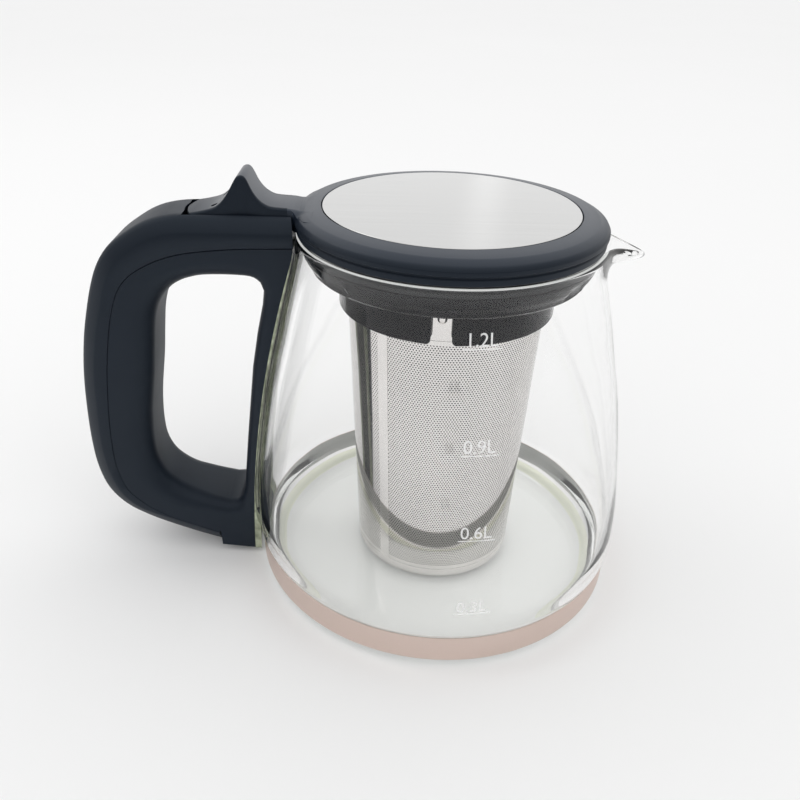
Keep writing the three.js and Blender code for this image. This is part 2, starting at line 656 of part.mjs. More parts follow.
function lidPlug() {
  const top = lidWebBottom - seatGap;
  const groove = plugRadius - gasketDepth;
  const inside = groove - plugWall / 2;
  let plug = revolve([
    [0, plugBottom], [plugRadius - plugWall, plugBottom], [plugRadius, plugBottom + plugWall],
    [plugRadius, gasketBottom], [groove, gasketBottom], [groove, gasketTop], [plugRadius, gasketTop],
    [plugRadius, ringTop + seatGap], [plugFlangeRadius, ringTop + seatGap], [plugFlangeRadius, top],
    [inside, top], [inside, plugBottom + 2 * plugWall], [inside - plugWall, plugBottom + plugWall],
    [0, plugBottom + plugWall],
  ]);
  const boss = screwHoleRadius + plugWall;
  const holeEnd = lidScrewZ - lidScrewLength - seatGap;
  for (const [x, y] of lidScrewSpots) {
    plug = plug.add(uprightCylinder(boss, x, y, plugBottom + plugWall / 2, top));
    plug = plug.subtract(uprightCylinder(screwHoleRadius, x, y, holeEnd, lidTop));
  }
  return plug;
}

function lidGasket() {
  const inner = plugRadius - gasketDepth + seatGap;
  const bottom = gasketBottom + seatGap;
  const top = gasketTop - seatGap;
  const lip = (top - bottom) / 3;
  return revolve([
    [inner, bottom], [plugRadius, bottom], [gasketRadius, bottom + lip],
    [gasketRadius, top - lip], [plugRadius, top], [inner, top],
  ]);
}

// Infuser

function infuserRing() {
  const neck = sealRadius - sealThickness - seatGap;
  const skirtInner = skirtRadius - skirtWall;
  const chamfer = skirtWall / 4;
  const tiers = placed(ringTierShares, [skirtRadius, ringMouth], [jugHeight, jugHeight + shoulderDepth]);
  const mouth = placed(ringMouthShares, [skirtRadius, ringMouth], [jugHeight, jugHeight + shoulderDepth]);
  let ring = revolve([
    [ringMouth + flangeThickness, ringTop], [flangeRadius, ringTop], [flangeRadius, ringBottom],
    [neck, ringBottom], [neck, sealBottom], ...tiers,
    [skirtRadius, skirtBottom + chamfer], [skirtRadius - chamfer, skirtBottom],
    [skirtInner, skirtBottom], [skirtInner, collarTop + seatGap], [mouth[0][0], collarTop + seatGap],
    ...mouth, [ringMouth, ringTop - flangeThickness / 2],
  ]);
  for (const angle of recessAzimuths) ring = ring.subtract(turnAbout(recessShape(tiers), angle));
  for (let i = 0; i < slotCount; i += 1) {
    ring = ring.subtract(turnAbout(slotShape(), slotAzimuth + (2 * Math.PI * i) / slotCount));
  }
  return ring;
}

// Cutter for a finger recess: it follows the slope of the ring's lower tier
function recessShape(tiers) {
  const high = jugHeight - recessDrop;
  const low = high - recessHeight;
  const inside = tiers.filter(([, z]) => z > low && z < high).map(([r, z]) => [r - recessDepth, z]);
  const outer = sealRadius + overrun;
  return sidePlate([
    [outer, high], [inside[0][0], high], ...inside, [inside.at(-1)[0], low], [outer, low],
  ], recessHalfWidth);
}

// Cutter for a bayonet slot: open at the skirt's lower edge, with rounded corners
function slotShape() {
  const low = skirtBottom - overrun;
  const half = [
    [slotHalfWidth + slotCorner, low], [slotHalfWidth + slotCorner, skirtBottom],
    [slotHalfWidth, skirtBottom + slotCorner], [slotHalfWidth, slotTop - slotCorner],
    [slotHalfWidth - slotCorner, slotTop],
  ];
  const outline = [...half, ...half.map(([y, z]) => [-y, z]).reverse()];
  const shape = new THREE.Shape(outline.map(([y, z]) => new THREE.Vector2(y, z)));
  const depth = skirtWall + 2 * collarGap;
  const plate = new THREE.ExtrudeGeometry(shape, { depth, bevelEnabled: false });
  plate.rotateX(Math.PI / 2).rotateZ(Math.PI / 2);
  return toSolid(plate.translate(skirtRadius - skirtWall - collarGap, 0, 0));
}

function infuserRingSeal() {
  const inner = sealRadius - sealThickness;
  const bead = sealThickness / 4;
  return revolve([
    [inner, sealBottom], [sealRadius - bead, sealBottom], [sealRadius, sealBottom + bead],
    [sealRadius - bead, sealBottom + sealHeight / 2], [sealRadius, jugHeight - bead],
    [sealRadius - bead, jugHeight], [inner, jugHeight],
  ]);
}

function tubeRadius(z) {
  const share = (z - tubeBottom) / (tubeTop - tubeBottom);
  return tubeBottomRadius + (tubeTopRadius - tubeBottomRadius) * share;
}

function infuserTube() {
  return revolve([
    [tubeBottomRadius, tubeBottom], [tubeTopRadius, tubeTop],
    [tubeTopRadius - tubeWall, tubeTop], [tubeBottomRadius - tubeWall, tubeBottom],
  ], jugFacets);
}

// Welded overlap of the rolled sheet, lying on one of the tube's own facets
function infuserSeam() {
  const facet = (2 * Math.PI) / jugFacets;
  const start = Math.floor((seamAzimuth + Math.PI / 2) / facet) * facet - Math.PI / 2;
  const angles = [start, start + facet];
  const levels = [tubeBottom, tubeTop - seatGap];
  return loft(levels.map((z) => shellRing(tubeRadius(z), seamLift, seamThickness, angles, z)), false);
}

function infuserCollar() {
  const inner = collarRadius - collarWall;
  const bottom = tubeTop + seatGap;
  let collar = revolve([
    [inner, bottom], [collarRadius, bottom], [collarRadius, collarTop], [inner, collarTop],
  ]);
  for (let i = 0; i < slotCount; i += 1) {
    const angle = slotAzimuth + (2 * Math.PI * i) / slotCount;
    const dimple = toSolid(new THREE.SphereGeometry(dimpleRadius, pinFacets, pinFacets / 2)
      .translate(collarRadius * Math.cos(angle), collarRadius * Math.sin(angle), collarTop - dimpleDrop));
    collar = collar.add(dimple);
  }
  return collar;
}

function infuserBottomCap() {
  const top = capBottom + capHeight;
  const outside = placed(capShares, [0, tubeBottomRadius], [capBottom, top]);
  const inside = placed(capShares, [0, tubeBottomRadius - capWall], [capBottom + capWall, top]);
  return revolve([[0, capBottom], ...outside, ...inside.reverse(), [0, capBottom + capWall]], jugFacets);
}

// The finished object

const charcoal = { color: 0x2b2f35, roughness: 0.45, metalness: 0 };
const steel = { color: 0xc9cac8, roughness: 0.28, metalness: 1 };
const rubber = { color: 0x1d1f22, roughness: 0.7, metalness: 0 };
const glass = { color: 0xe6eeea, roughness: 0.04, metalness: 0, transparent: true, opacity: 0.35 };
const bandMetal = { color: 0xb5a49c, roughness: 0.35, metalness: 1 };
const adhesive = { color: 0xb9c3ae, roughness: 0.3, metalness: 0, transparent: true, opacity: 0.6 };

const group = new THREE.Group();

function add(name, solid, look) {
  const mesh = new THREE.Mesh(toGeometry(solid), new THREE.MeshStandardMaterial(look));
  mesh.name = name;
  group.add(mesh);
}

add('glass_jug', glassJug(), glass);
add('base_band', baseBand(), bandMetal);
add('handle_bond_strip', handleBondStrip(), adhesive);
add('handle_frame', handleFrame(), charcoal);
add('handle_cover', handleCover(), charcoal);
add('handle_screw_top', screw(topScrewX, 0, topScrewZ, handleScrewLength, true), steel);
add('handle_screw_bottom', screw(bottomScrewX, 0, bottomScrewZ, handleScrewLength, false), steel);
add('lid_pin', crossCylinder(pinRadius, pinHalfLength, hingeX, hingeZ), steel);
add('lid_cover', lidCover(), charcoal);
add('lid_plate', lidPlate(), steel);
add('lid_plug', lidPlug(), charcoal);
add('lid_gasket', lidGasket(), rubber);
lidScrewSpots.forEach(([x, y], i) => {
  add(`lid_screw_${i + 1}`, screw(x, y, lidScrewZ, lidScrewLength, true), steel);
});
add('infuser_ring', infuserRing(), charcoal);
add('infuser_ring_seal', infuserRingSeal(), rubber);
add('infuser_collar', infuserCollar(), steel);
add('infuser_tube', infuserTube(), steel);
add('infuser_seam', infuserSeam(), steel);
add('infuser_bottom_cap', infuserBottomCap(), steel);

export default group;
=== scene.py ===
# Glass tea brewing jug with hinged lid, D-shaped handle and lift-out steel infuser, on a pale floor.
import math

import bmesh
import bpy
from mathutils import Matrix, Vector


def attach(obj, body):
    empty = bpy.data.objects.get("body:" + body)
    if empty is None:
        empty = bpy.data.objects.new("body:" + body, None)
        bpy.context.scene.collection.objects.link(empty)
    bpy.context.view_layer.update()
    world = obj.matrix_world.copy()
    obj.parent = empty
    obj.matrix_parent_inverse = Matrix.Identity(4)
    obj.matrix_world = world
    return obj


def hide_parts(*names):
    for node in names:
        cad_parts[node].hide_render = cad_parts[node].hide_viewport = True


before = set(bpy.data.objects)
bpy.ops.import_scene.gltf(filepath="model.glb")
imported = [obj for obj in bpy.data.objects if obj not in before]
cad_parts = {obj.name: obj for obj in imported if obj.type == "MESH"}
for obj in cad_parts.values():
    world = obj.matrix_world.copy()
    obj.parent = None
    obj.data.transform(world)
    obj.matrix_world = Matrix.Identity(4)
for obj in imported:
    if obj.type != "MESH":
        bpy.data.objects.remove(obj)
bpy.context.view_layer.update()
mm = 0.001
print("frame loaded:", len(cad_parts), "CAD nodes")

# Shader maths: a wrapped socket that adds Math nodes


class Val:
    def __init__(self, look, socket):
        self.look = look
        self.socket = socket

    def op(self, operation, *values):
        return self.look.node("ShaderNodeMath", {"operation": operation}, list(values))

    def __add__(self, other):
        return self.op("ADD", self, other)

    __radd__ = __add__

    def __sub__(self, other):
        return self.op("SUBTRACT", self, other)

    def __rsub__(self, other):
        return self.op("SUBTRACT", other, self)

    def __mul__(self, other):
        return self.op("MULTIPLY", self, other)

    def __truediv__(self, other):
        return self.op("DIVIDE", self, other)

    def __pow__(self, other):
        return self.op("POWER", self, other)

    def __lt__(self, other):
        return self.op("LESS_THAN", self, other)

    def __gt__(self, other):
        return self.op("GREATER_THAN", self, other)


class Look:
    def __init__(self, name, shader="ShaderNodeBsdfPrincipled", **fixed):
        self.material = bpy.data.materials.new(name)
        self.material.use_nodes = True
        self.tree = self.material.node_tree
        self.tree.nodes.clear()
        self.out = self.tree.nodes.new("ShaderNodeOutputMaterial")
        self.shader = self.tree.nodes.new(shader)
        self.tree.links.new(self.shader.outputs[0], self.out.inputs["Surface"])
        for socket, value in fixed.items():
            self.put(self.shader, socket.replace("_", " "), value)

    def put(self, node, socket, value):
        target = node.inputs[socket]
        if isinstance(value, Val):
            self.tree.links.new(value.socket, target)
        elif isinstance(value, bpy.types.NodeSocket):
            self.tree.links.new(value, target)
        elif hasattr(target.default_value, "__len__") and len(value) < len(target.default_value):
            target.default_value = (*value, 1)
        else:
            target.default_value = value

    def node(self, kind, settings=None, values=None, out=0):
        made = self.tree.nodes.new(kind)
        for key, value in (settings or {}).items():
            setattr(made, key, value)
        pairs = values.items() if isinstance(values, dict) else enumerate(values or [])
        for socket, value in pairs:
            self.put(made, socket, value)
        return Val(self, made.outputs[out])

    def place(self):
        return self.node("ShaderNodeTexCoord", out="Object")

    def axes(self):
        split = self.node("ShaderNodeSeparateXYZ", values=[self.place()])
        sockets = split.socket.node.outputs
        return [Val(self, sockets[i]) for i in range(3)]

    def noise(self, scale, detail=2, rough=0.5, place=None):
        where = place or self.place()
        given = {"Vector": where, "Scale": scale, "Detail": detail, "Roughness": rough}
        return self.node("ShaderNodeTexNoise", values=given)

    def stretched(self, sx, sy, sz):
        return self.node("ShaderNodeMapping", values={"Vector": self.place(), "Scale": (sx, sy, sz)})

    def spread(self, value, low, high, fromLow=0.0, fromHigh=1.0):
        given = {"Value": value, "From Min": fromLow, "From Max": fromHigh, "To Min": low, "To Max": high}
        return self.node("ShaderNodeMapRange", values=given)

    def blend(self, share, first, second):
        given = {0: share, 6: first, 7: second}
        return self.node("ShaderNodeMix", {"data_type": "RGBA"}, given, out=2)

    def bump(self, height, distance, strength=1.0):
        given = {"Height": height, "Distance": distance, "Strength": strength}
        return self.node("ShaderNodeBump", values=given, out="Normal")

    def feed(self, **values):
        for socket, value in values.items():
            self.put(self.shader, socket.replace("_", " "), value)
        return self

    def wear(self, piece):
        piece.data.materials.clear()
        piece.data.materials.append(self.material)
        return piece


def radius(look):
    x, y = look.axes()[:2]
    return (x * x + y * y) ** 0.5


# Materials. Noise scales are per metre, bump distances in metres; tones and ranges run low to high

plasticSet = {
    "patch": (28, 3), "dark": (0.003, 0.006, 0.012), "light": (0.005, 0.0085, 0.016),
    "wear": (90, 3), "rough": (0.44, 0.54), "grain": (3400, 2), "depth": 0.00001,
}
# Painted sheen: the lid's upper faces, not the flanks of the arm, take a bluish tone for the light they
# catch, together with a clear coat
topSheenSet = {
    "full": 0.64, "from": 0.1335, "to": 0.1365, "armHalf": 7.3, "armEnd": -54,
    "tone": (0.0, 0.009, 0.028),
}
# Dried adhesive on the handle; the jug's wall is a curve of height in mm
filmSet = {
    "wall": (67.89, 0.0166, -0.001208), "reach": 1.7, "clear": 7.5, "top": 122,
    "smear": (300, 3), "smearFrom": (0.35, 0.65),
    "dark": (0.2, 0.22, 0.15), "light": (0.42, 0.45, 0.33),
}


def charcoalPlastic(name="charcoal_plastic", film=None):
    look = Look(name, IOR=1.4, Specular_Tint=(0.78, 0.89, 1.0), Coat_Roughness=0.36, Coat_IOR=1.6)
    s = plasticSet
    colour = look.blend(look.noise(*s["patch"]), s["dark"], s["light"])
    rough = look.spread(look.noise(*s["wear"]), *s["rough"])
    facing = look.bump(look.noise(*s["grain"]), s["depth"])
    x, y, z = look.axes()
    aside = y.op("ABSOLUTE", y)
    s = topSheenSet
    topSheen = look.spread(z, 0, s["full"], s["from"], s["to"])
    topSheen = topSheen * topSheen.op("MAXIMUM", aside < s["armHalf"] * mm, x > s["armEnd"] * mm)
    # painted sheen: the upper faces are tinted bluish
    colour = look.blend(topSheen, colour, s["tone"])
    if film:
        # dried adhesive covers the face that meets the glass
        up = z / mm
        wall = film["wall"][0] + up * film["wall"][1] + up * up * film["wall"][2]
        near = (radius(look) / mm < wall + film["reach"]) * (z < film["top"] * mm)
        near = near * (aside > film["clear"] * mm)
        smear = look.spread(look.noise(*film["smear"]), 0, 1, *film["smearFrom"])
        colour = look.blend(near, colour, look.blend(smear, film["dark"], film["light"]))
        topSheen = topSheen * 0
    return look.feed(Base_Color=colour, Roughness=rough, Coat_Weight=topSheen, Normal=facing)


ringSet = {
    "patch": (40, 3), "dark": (0.006, 0.006, 0.008), "light": (0.011, 0.011, 0.013),
    "wear": (140, 3), "rough": (0.1, 0.18), "grain": (60, 2), "depth": 0.00006,
}
rubberSet = {
    "patch": (60, 3), "dark": (0.01, 0.011, 0.013), "light": (0.018, 0.019, 0.021),
    "wear": (300, 3), "rough": (0.55, 0.7), "grain": (1500, 3), "depth": 0.00003,
}


def mouldedLook(name, index, s):
    look = Look(name, IOR=index)
    colour = look.blend(look.noise(*s["patch"]), s["dark"], s["light"])
    rough = look.spread(look.noise(*s["wear"]), *s["rough"])
    facing = look.bump(look.noise(*s["grain"]), s["depth"])
    return look.feed(Base_Color=colour, Roughness=rough, Normal=facing)


# The disc is brushed along x, the band round its turn
brushedSet = {
    "drawn": 0.02, "fine": (5200, 2, 0.6), "wide": (700, 2, 0.5), "band": (5200, 3, 0.6),
    "dark": (0.62, 0.62, 0.615), "light": (0.68, 0.68, 0.675), "rough": (0.1, 0.2),
    "depth": 0.00003, "share": 0.6, "bandDepth": 0.000004,
}


def discSteel():
    s = brushedSet
    look = Look("disc_steel", Metallic=1.0)
    x, y = look.axes()[:2]
    brushed = look.node("ShaderNodeCombineXYZ", values=[x * s["drawn"], y, 0.0])
    fine = look.noise(*s["fine"], brushed)
    tone = look.blend(look.noise(*s["wide"], brushed), s["dark"], s["light"])
    return look.feed(Base_Color=tone, Roughness=look.spread(fine, *s["rough"]),
                     Normal=look.bump(fine, s["depth"], s["share"]))


steelSet = {
    "patch": (35, 3), "dark": (0.74, 0.718, 0.702), "light": (0.81, 0.788, 0.772),
    "wear": (120, 3), "rough": (0.05, 0.1), "wave": (22, 2), "depth": 0.0005, "share": 0.1,
    "leanFrom": (0.0135, 0.0175),
}


def bareSteel(name, lean=0.0, hole=None):
    s = steelSet
    look = Look(name, Metallic=1.0)
    x, y, z = look.axes()
    tone = look.blend(look.noise(*s["patch"]), s["dark"], s["light"])
    rough = look.spread(look.noise(*s["wear"]), *s["rough"])
    facing = look.bump(look.noise(*s["wave"]), s["depth"], s["share"])
    if lean:
        # the rolled sheet's surface leans a little, most on its near and far sides
        front = y / radius(look)
        share = front.op("ABSOLUTE", front) * look.spread(z, 0, lean, *s["leanFrom"])
        upward = look.node("ShaderNodeCombineXYZ", values=[0.0, 0.0, share])
        added = look.node("ShaderNodeVectorMath", {"operation": "ADD"}, [facing, upward], out="Vector")
        facing = look.node("ShaderNodeVectorMath", {"operation": "NORMALIZE"}, [added], out="Vector")
    if hole:
        turn = look.node("ShaderNodeMath", {"operation": "ARCTAN2"}, [y, x])
        along = turn * (hole["around"] / (2 * math.pi))
        up = z / (hole["rowStep"] * mm)
        row = up.op("FLOOR", up)
        shifted = along + row * 0.5
        dx = (shifted.op("FRACT", shifted) - 0.5) * hole["pitch"]
        dz = (up.op("FRACT", up) - 0.5) * hole["rowStep"]
        apart = (dx * dx + dz * dz) ** 0.5
        inside = (apart < hole["radius"]) * (z > hole["from"] * mm) * (z < hole["to"] * mm)
        # painted shade: the holes take a near-black tone for the dark inside of the sieve
        tone = look.blend(inside, tone, hole["depth"])
        look.feed(Alpha=1 - inside * hole["clear"], Metallic=1 - inside)
    return look.feed(Base_Color=tone, Roughness=rough, Normal=facing)


def bandMetal(name, s):
    look = Look(name, Metallic=s["metallic"])
    x, y, z = look.axes()
    turn = look.node("ShaderNodeMath", {"operation": "ARCTAN2"}, [y, x])
    lines = look.node("ShaderNodeCombineXYZ", values=[turn * brushedSet["drawn"], z, 0.0])
    streak = look.noise(*brushedSet["band"], lines)
    colour = look.blend(streak, s["dark"], s["light"])
    return look.feed(Base_Color=colour, Roughness=look.spread(streak, *s["rough"]),
                     Normal=look.bump(streak, brushedSet["bandDepth"]))


# The foot's edge looks olive, and a thin line at the mouth glows as a painted highlight
clearSet = {
    "tint": (0.55, 0.8, 0.45), "density": 0.8, "through": (0.99, 0.995, 0.99),
    "ripple": (24, 2), "depth": 0.0006, "share": 0.12,
    "footTop": 2.6, "footFrom": 60, "footTone": (0.8, 0.83, 0.6),
    "rimLow": 127.45, "rimHigh": 127.9, "rimReach": 53, "rimGlow": (0.55, 0.56, 0.55),
}


def clearGlass():
    s = clearSet
    look = Look("jug_glass", Roughness=0.0, IOR=1.38, Transmission_Weight=1.0)
    z = look.axes()[2]
    away = radius(look)
    atFoot = (z < s["footTop"] * mm) * (away > s["footFrom"] * mm)
    foot = look.blend(atFoot, (1, 1, 1), s["footTone"])
    # painted highlight: a thin band just below the mouth's top emits a grey glow
    rim = (z > s["rimLow"] * mm) * (z < s["rimHigh"] * mm) * (away < s["rimReach"] * mm)
    glow = look.blend(rim, (0, 0, 0), s["rimGlow"])
    ripple = look.bump(look.noise(*s["ripple"]), s["depth"], s["share"])
    look.feed(Normal=ripple, Base_Color=foot, Emission_Color=glow, Emission_Strength=1.0)
    # shadows and soft light pass straight through
    through = look.tree.nodes.new("ShaderNodeBsdfTransparent")
    look.put(through, "Color", s["through"])
    shadow = look.node("ShaderNodeLightPath", out="Is Shadow Ray")
    bounce = Val(look, shadow.socket.node.outputs["Is Diffuse Ray"])
    path = shadow.op("MAXIMUM", shadow, bounce)
    mix = look.node("ShaderNodeMixShader", values=[path, look.shader.outputs[0], through.outputs[0]])
    look.put(look.out, "Surface", mix)
    volume = look.tree.nodes.new("ShaderNodeVolumeAbsorption")
    look.put(volume, "Color", s["tint"])
    look.put(volume, "Density", s["density"])
    look.put(look.out, "Volume", volume.outputs[0])
    return look


adhesiveSet = {
    "smear": (420, 3, 0.6), "stretch": (1, 1, 0.35), "smearFrom": (0.35, 0.65),
    "dark": (0.2, 0.22, 0.16), "light": (0.62, 0.64, 0.53), "middle": (0.02, 0.023, 0.022),
    "rough": (0.2, 0.5), "depth": 0.0004, "share": 0.5,
}


def clearAdhesive():
    s = adhesiveSet
    look = Look("clear_adhesive", IOR=1.45, Transmission_Weight=0.35)
    smear = look.noise(*s["smear"], look.stretched(*s["stretch"]))
    y = look.axes()[1]
    olive = look.blend(look.spread(smear, 0, 1, *s["smearFrom"]), s["dark"], s["light"])
    edge = y.op("ABSOLUTE", y) > filmSet["clear"] * mm
    colour = look.blend(edge, s["middle"], olive)
    return look.feed(Base_Color=colour, Roughness=look.spread(smear, *s["rough"]),
                     Normal=look.bump(smear, s["depth"], s["share"]))


inkSet = {
    "patch": (700, 2), "dark": (0.86, 0.86, 0.86), "light": (0.95, 0.95, 0.95),
    "wear": (1500, 2), "cover": (0.45, 0.85),
}


def printedMark():
    s = inkSet
    look = Look("printed_mark", IOR=1.4, Roughness=0.5)
    colour = look.blend(look.noise(*s["patch"]), s["dark"], s["light"])
    return look.feed(Base_Color=colour, Alpha=look.spread(look.noise(*s["wear"]), *s["cover"]))


# Mesh helpers


def shade(bm, sharp):
    # smooth faces, with edges sharper than the given degrees kept hard
    for edge in bm.edges:
        edge.smooth = len(edge.link_faces) != 2 or edge.calc_face_angle(0) < math.radians(sharp)
    for face in bm.faces:
        face.smooth = True


def finish(bm, name, look, sharp=35):
    shade(bm, sharp)
    mesh = bpy.data.meshes.new(name)
    bm.to_mesh(mesh)
    bm.free()
    piece = bpy.data.objects.new(name, mesh)
    bpy.context.scene.collection.objects.link(piece)
    if look:
        look.wear(piece)
    return piece


def filleted(corners, closed=True, steps=6):
    # rounds (x, y, fillet) corners into arcs
    count = len(corners)
    line = []
    for i, (x, y, fillet) in enumerate(corners):
        here = Vector((x, y))
        if not fillet or (not closed and i in (0, count - 1)):
            line.append(here)
            continue
        before = (Vector(corners[i - 1][:2]) - here).normalized()
        after = (Vector(corners[(i + 1) % count][:2]) - here).normalized()
        half = before.angle(after) / 2
        reach = fillet / math.tan(half)
        start, end = here + before * reach, here + after * reach
        centre = here + (before + after).normalized() * (fillet / math.sin(half))
        for k in range(steps + 1):
            spot = start.lerp(end, k / steps) - centre
            line.append(centre + spot.normalized() * fillet)
    return line


def curved(points, steps=4, closed=False):
    # a smooth line through points, of any dimension
    spots = [Vector(p) for p in points]
    count = len(spots)
    line = []
    for i in range(count if closed else count - 1):
        if closed:
            a, b, c, d = (spots[(i + k) % count] for k in (-1, 0, 1, 2))
        else:
            a, b, c, d = (spots[min(max(i + k, 0), count - 1)] for k in (-1, 0, 1, 2))
        for k in range(steps):
            t = k / steps
            line.append(0.5 * (2 * b + (c - a) * t + (2 * a - 5 * b + 4 * c - d) * t * t
                               + (3 * b - a - 3 * c + d) * t ** 3))
    if not closed:
        line.append(spots[-1])
    return line


def spun(name, line, look, steps, closed=True, sharp=35):
    # turns a profile of (radius, z) in mm about the jug's axis
    bm = bmesh.new()
    verts = [bm.verts.new((r * mm, 0, z * mm)) for r, z in line]
    pairs = list(zip(verts, verts[1:])) + ([(verts[-1], verts[0])] if closed else [])
    edges = [bm.edges.new(pair) for pair in pairs]
    bmesh.ops.spin(bm, geom=verts + edges, cent=(0, 0, 0), axis=(0, 0, 1), angle=2 * math.pi,
                   steps=steps, use_merge=True)
    bmesh.ops.remove_doubles(bm, verts=bm.verts, dist=1e-6)
    bmesh.ops.recalc_face_normals(bm, faces=bm.faces)
    return finish(bm, name, look, sharp)


def lofted(name, loops, look, closed=False):
    # skins a row of loops of points in mm
    bm = bmesh.new()
    rings = []
    for loop in loops:
        verts = [bm.verts.new(Vector(p) * mm) for p in loop]
        rings.append([bm.edges.new((verts[i - 1], verts[i])) for i in range(len(verts))])
    spans = list(zip(rings, rings[1:])) + ([(rings[-1], rings[0])] if closed else [])
    for first, second in spans:
        bmesh.ops.bridge_loops(bm, edges=first + second)
    if not closed:
        for ring in (rings[0], rings[-1]):
            bmesh.ops.holes_fill(bm, edges=ring)
    bmesh.ops.recalc_face_normals(bm, faces=bm.faces)
    return finish(bm, name, look)


def prism(name, outline, way, low, high):
    # an outline in mm pushed along Y (way 'side', points x, z) or Z (way 'plan', points x, y)
    bm = bmesh.new()
    side = way == "side"
    verts = [bm.verts.new(Vector((x, low, y) if side else (x, y, low)) * mm) for x, y in outline]
    face = bm.faces.new(verts)
    pushed = bmesh.ops.extrude_face_region(bm, geom=[face])["geom"]
    shift = Vector((0, high - low, 0) if side else (0, 0, high - low)) * mm
    bmesh.ops.translate(bm, vec=shift, verts=[g for g in pushed if isinstance(g, bmesh.types.BMVert)])
    bmesh.ops.recalc_face_normals(bm, faces=bm.faces)
    return finish(bm, name, None)


def combined(piece, others, operation="DIFFERENCE"):
    # cuts or joins piece with the others, which are used up
    for other in others:
        change = piece.modifiers.new("change", "BOOLEAN")
        change.operation = operation
        change.solver = "EXACT"
        change.object = other
    bpy.context.view_layer.update()
    graph = bpy.context.evaluated_depsgraph_get()
    mesh = bpy.data.meshes.new_from_object(piece.evaluated_get(graph))
    mesh.name = piece.name
    piece.modifiers.clear()
    piece.data = mesh
    for other in others:
        bpy.data.objects.remove(other)
    return piece


def circle(x, y, r, steps=32):
    turns = [2 * math.pi * k / steps for k in range(steps)]
    return [(x + r * math.cos(a), y + r * math.sin(a)) for a in turns]


def softened(piece, sharp=35, width=0.0, segments=2):
    # marks hard edges again after a cut, and bevels them where width is given
    bm = bmesh.new()
    bm.from_mesh(piece.data)
    bmesh.ops.remove_doubles(bm, verts=bm.verts, dist=2e-6)
    if width:
        hard = [e for e in bm.edges if len(e.link_faces) == 2 and e.calc_face_angle(0) > math.radians(sharp)]
        bmesh.ops.bevel(bm, geom=hard, offset=width * mm, segments=segments, profile=0.5,
                        affect="EDGES", material=-1, clamp_overlap=True)
    shade(bm, sharp)
    bm.to_mesh(piece.data)
    bm.free()
    return piece


def smooth(share):
    t = min(max(share, 0), 1)
    return t * t * (3 - 2 * t)


def seat(piece, body, slot, *nodes):
    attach(piece, body)
    if nodes:
        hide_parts(*nodes)
    return piece


# Glass jug

glassSet = {
    "outside": [(65.25, 5.2), (65.3, 8), (65.3, 11.2), (65.9, 12.7), (67.0, 14.4), (67.55, 17.5), (67.65, 23),
                (67.5, 31.4), (66.8, 39.9), (66.0, 48.1), (65.1, 56.1), (64.1, 63.9), (63.0, 71.5),
                (61.6, 78.9), (59.3, 89.8), (57.2, 100.4), (54.8, 110.7), (53.0, 119), (52.3, 124),
                (52.2, 126.8)],
    "inside": [(50.2, 126.8), (50.3, 124), (51.0, 119), (52.8, 110.7), (55.2, 100.4), (57.3, 89.8),
               (59.6, 78.9), (61, 71.5), (62.1, 63.9), (63.1, 56.1), (64, 48.1), (64.8, 39.9), (65.4, 31.4),
               (65.4, 23), (64.9, 17.5), (63.9, 12.5), (62.0, 8.6), (58.8, 5.6), (54.5, 4.0), (49, 3.5)],
    "foot": [(0, 0, 0), (60.3, 0, 3), (63.9, 1.9, 3)],
    "rim": [(51.85, 127.65), (51.2, 128), (50.5, 127.65)],
    "spoutReach": 15, "spoutDroop": 5.5, "spoutStart": 116, "spoutRise": 11, "channelFloor": 1.4,
    "spread": math.radians(6.5), "tip": math.radians(2), "crowding": 0.65, "facets": 200,
    "top": 128, "floor": 3.5, "axisReach": 1, "steps": 3, "sharp": 60,
}


def spoutShare(z, turn):
    away = math.hypot(turn, glassSet["tip"]) - glassSet["tip"]
    rise = smooth((z - glassSet["spoutStart"]) / glassSet["spoutRise"])
    return rise * math.exp(-away / glassSet["spread"])


def pullSpout(piece, wall):
    # draws the pouring lip out of the neck
    for vert in piece.data.vertices:
        x, y, z = (c / mm for c in vert.co)
        reach = math.hypot(x, y)
        if reach < glassSet["axisReach"]:
            continue
        even = math.atan2(y, x)
        turn = even - glassSet["crowding"] * math.sin(even)
        inner = reach < wall(z) and z < glassSet["top"] - glassSet["channelFloor"]
        share = spoutShare(z - glassSet["channelFloor"] if inner else z, turn)
        out = reach + glassSet["spoutReach"] * share
        low = z - glassSet["spoutDroop"] * share
        vert.co = Vector((out * math.cos(turn), out * math.sin(turn), low)) * mm


def glassRadius(z):
    rows = glassSet["outside"]
    for (r0, z0), (r1, z1) in zip(rows, rows[1:]):
        if z <= z1:
            return r0 + (r1 - r0) * (z - z0) / (z1 - z0)
    return rows[-1][0]


def makeGlass(look):
    outside, inside = (curved(glassSet[key], glassSet["steps"]) for key in ("outside", "inside"))
    foot = filleted([*glassSet["foot"], (*glassSet["outside"][0], 0)], closed=False)[:-1]
    line = [*foot, *outside, *glassSet["rim"], *inside, (0, glassSet["floor"])]
    piece = spun("glass_body", line, look, glassSet["facets"], closed=False, sharp=glassSet["sharp"])
    pullSpout(piece, lambda z: glassRadius(z) - 1)
    piece.data.update()
    return seat(piece, "jug", "jug_glass", "glass_jug")


# Litre marks printed on the glass

markSet = {
    "turn": math.radians(-83.2), "size": 5.75, "gap": 0.8, "line": 11.6, "weight": 0.35,
    "shift": 0.02, "lift": 0.03, "thick": 0.04,
    "rows": {"0.3L": 24.2, "0.6L": 51.1, "0.9L": 78.9, "1.2L": 110.6},
}


def wrapped(piece, base):
    # lays a flat drawing in mm round the glass, base mm above the ground
    for vert in piece.data.vertices:
        along, up, out = vert.co
        z = base + up
        reach = glassRadius(z) + markSet["lift"] + out
        turn = markSet["turn"] + along / reach
        vert.co = Vector((reach * math.cos(turn), reach * math.sin(turn), z)) * mm
    piece.data.update()
    return piece


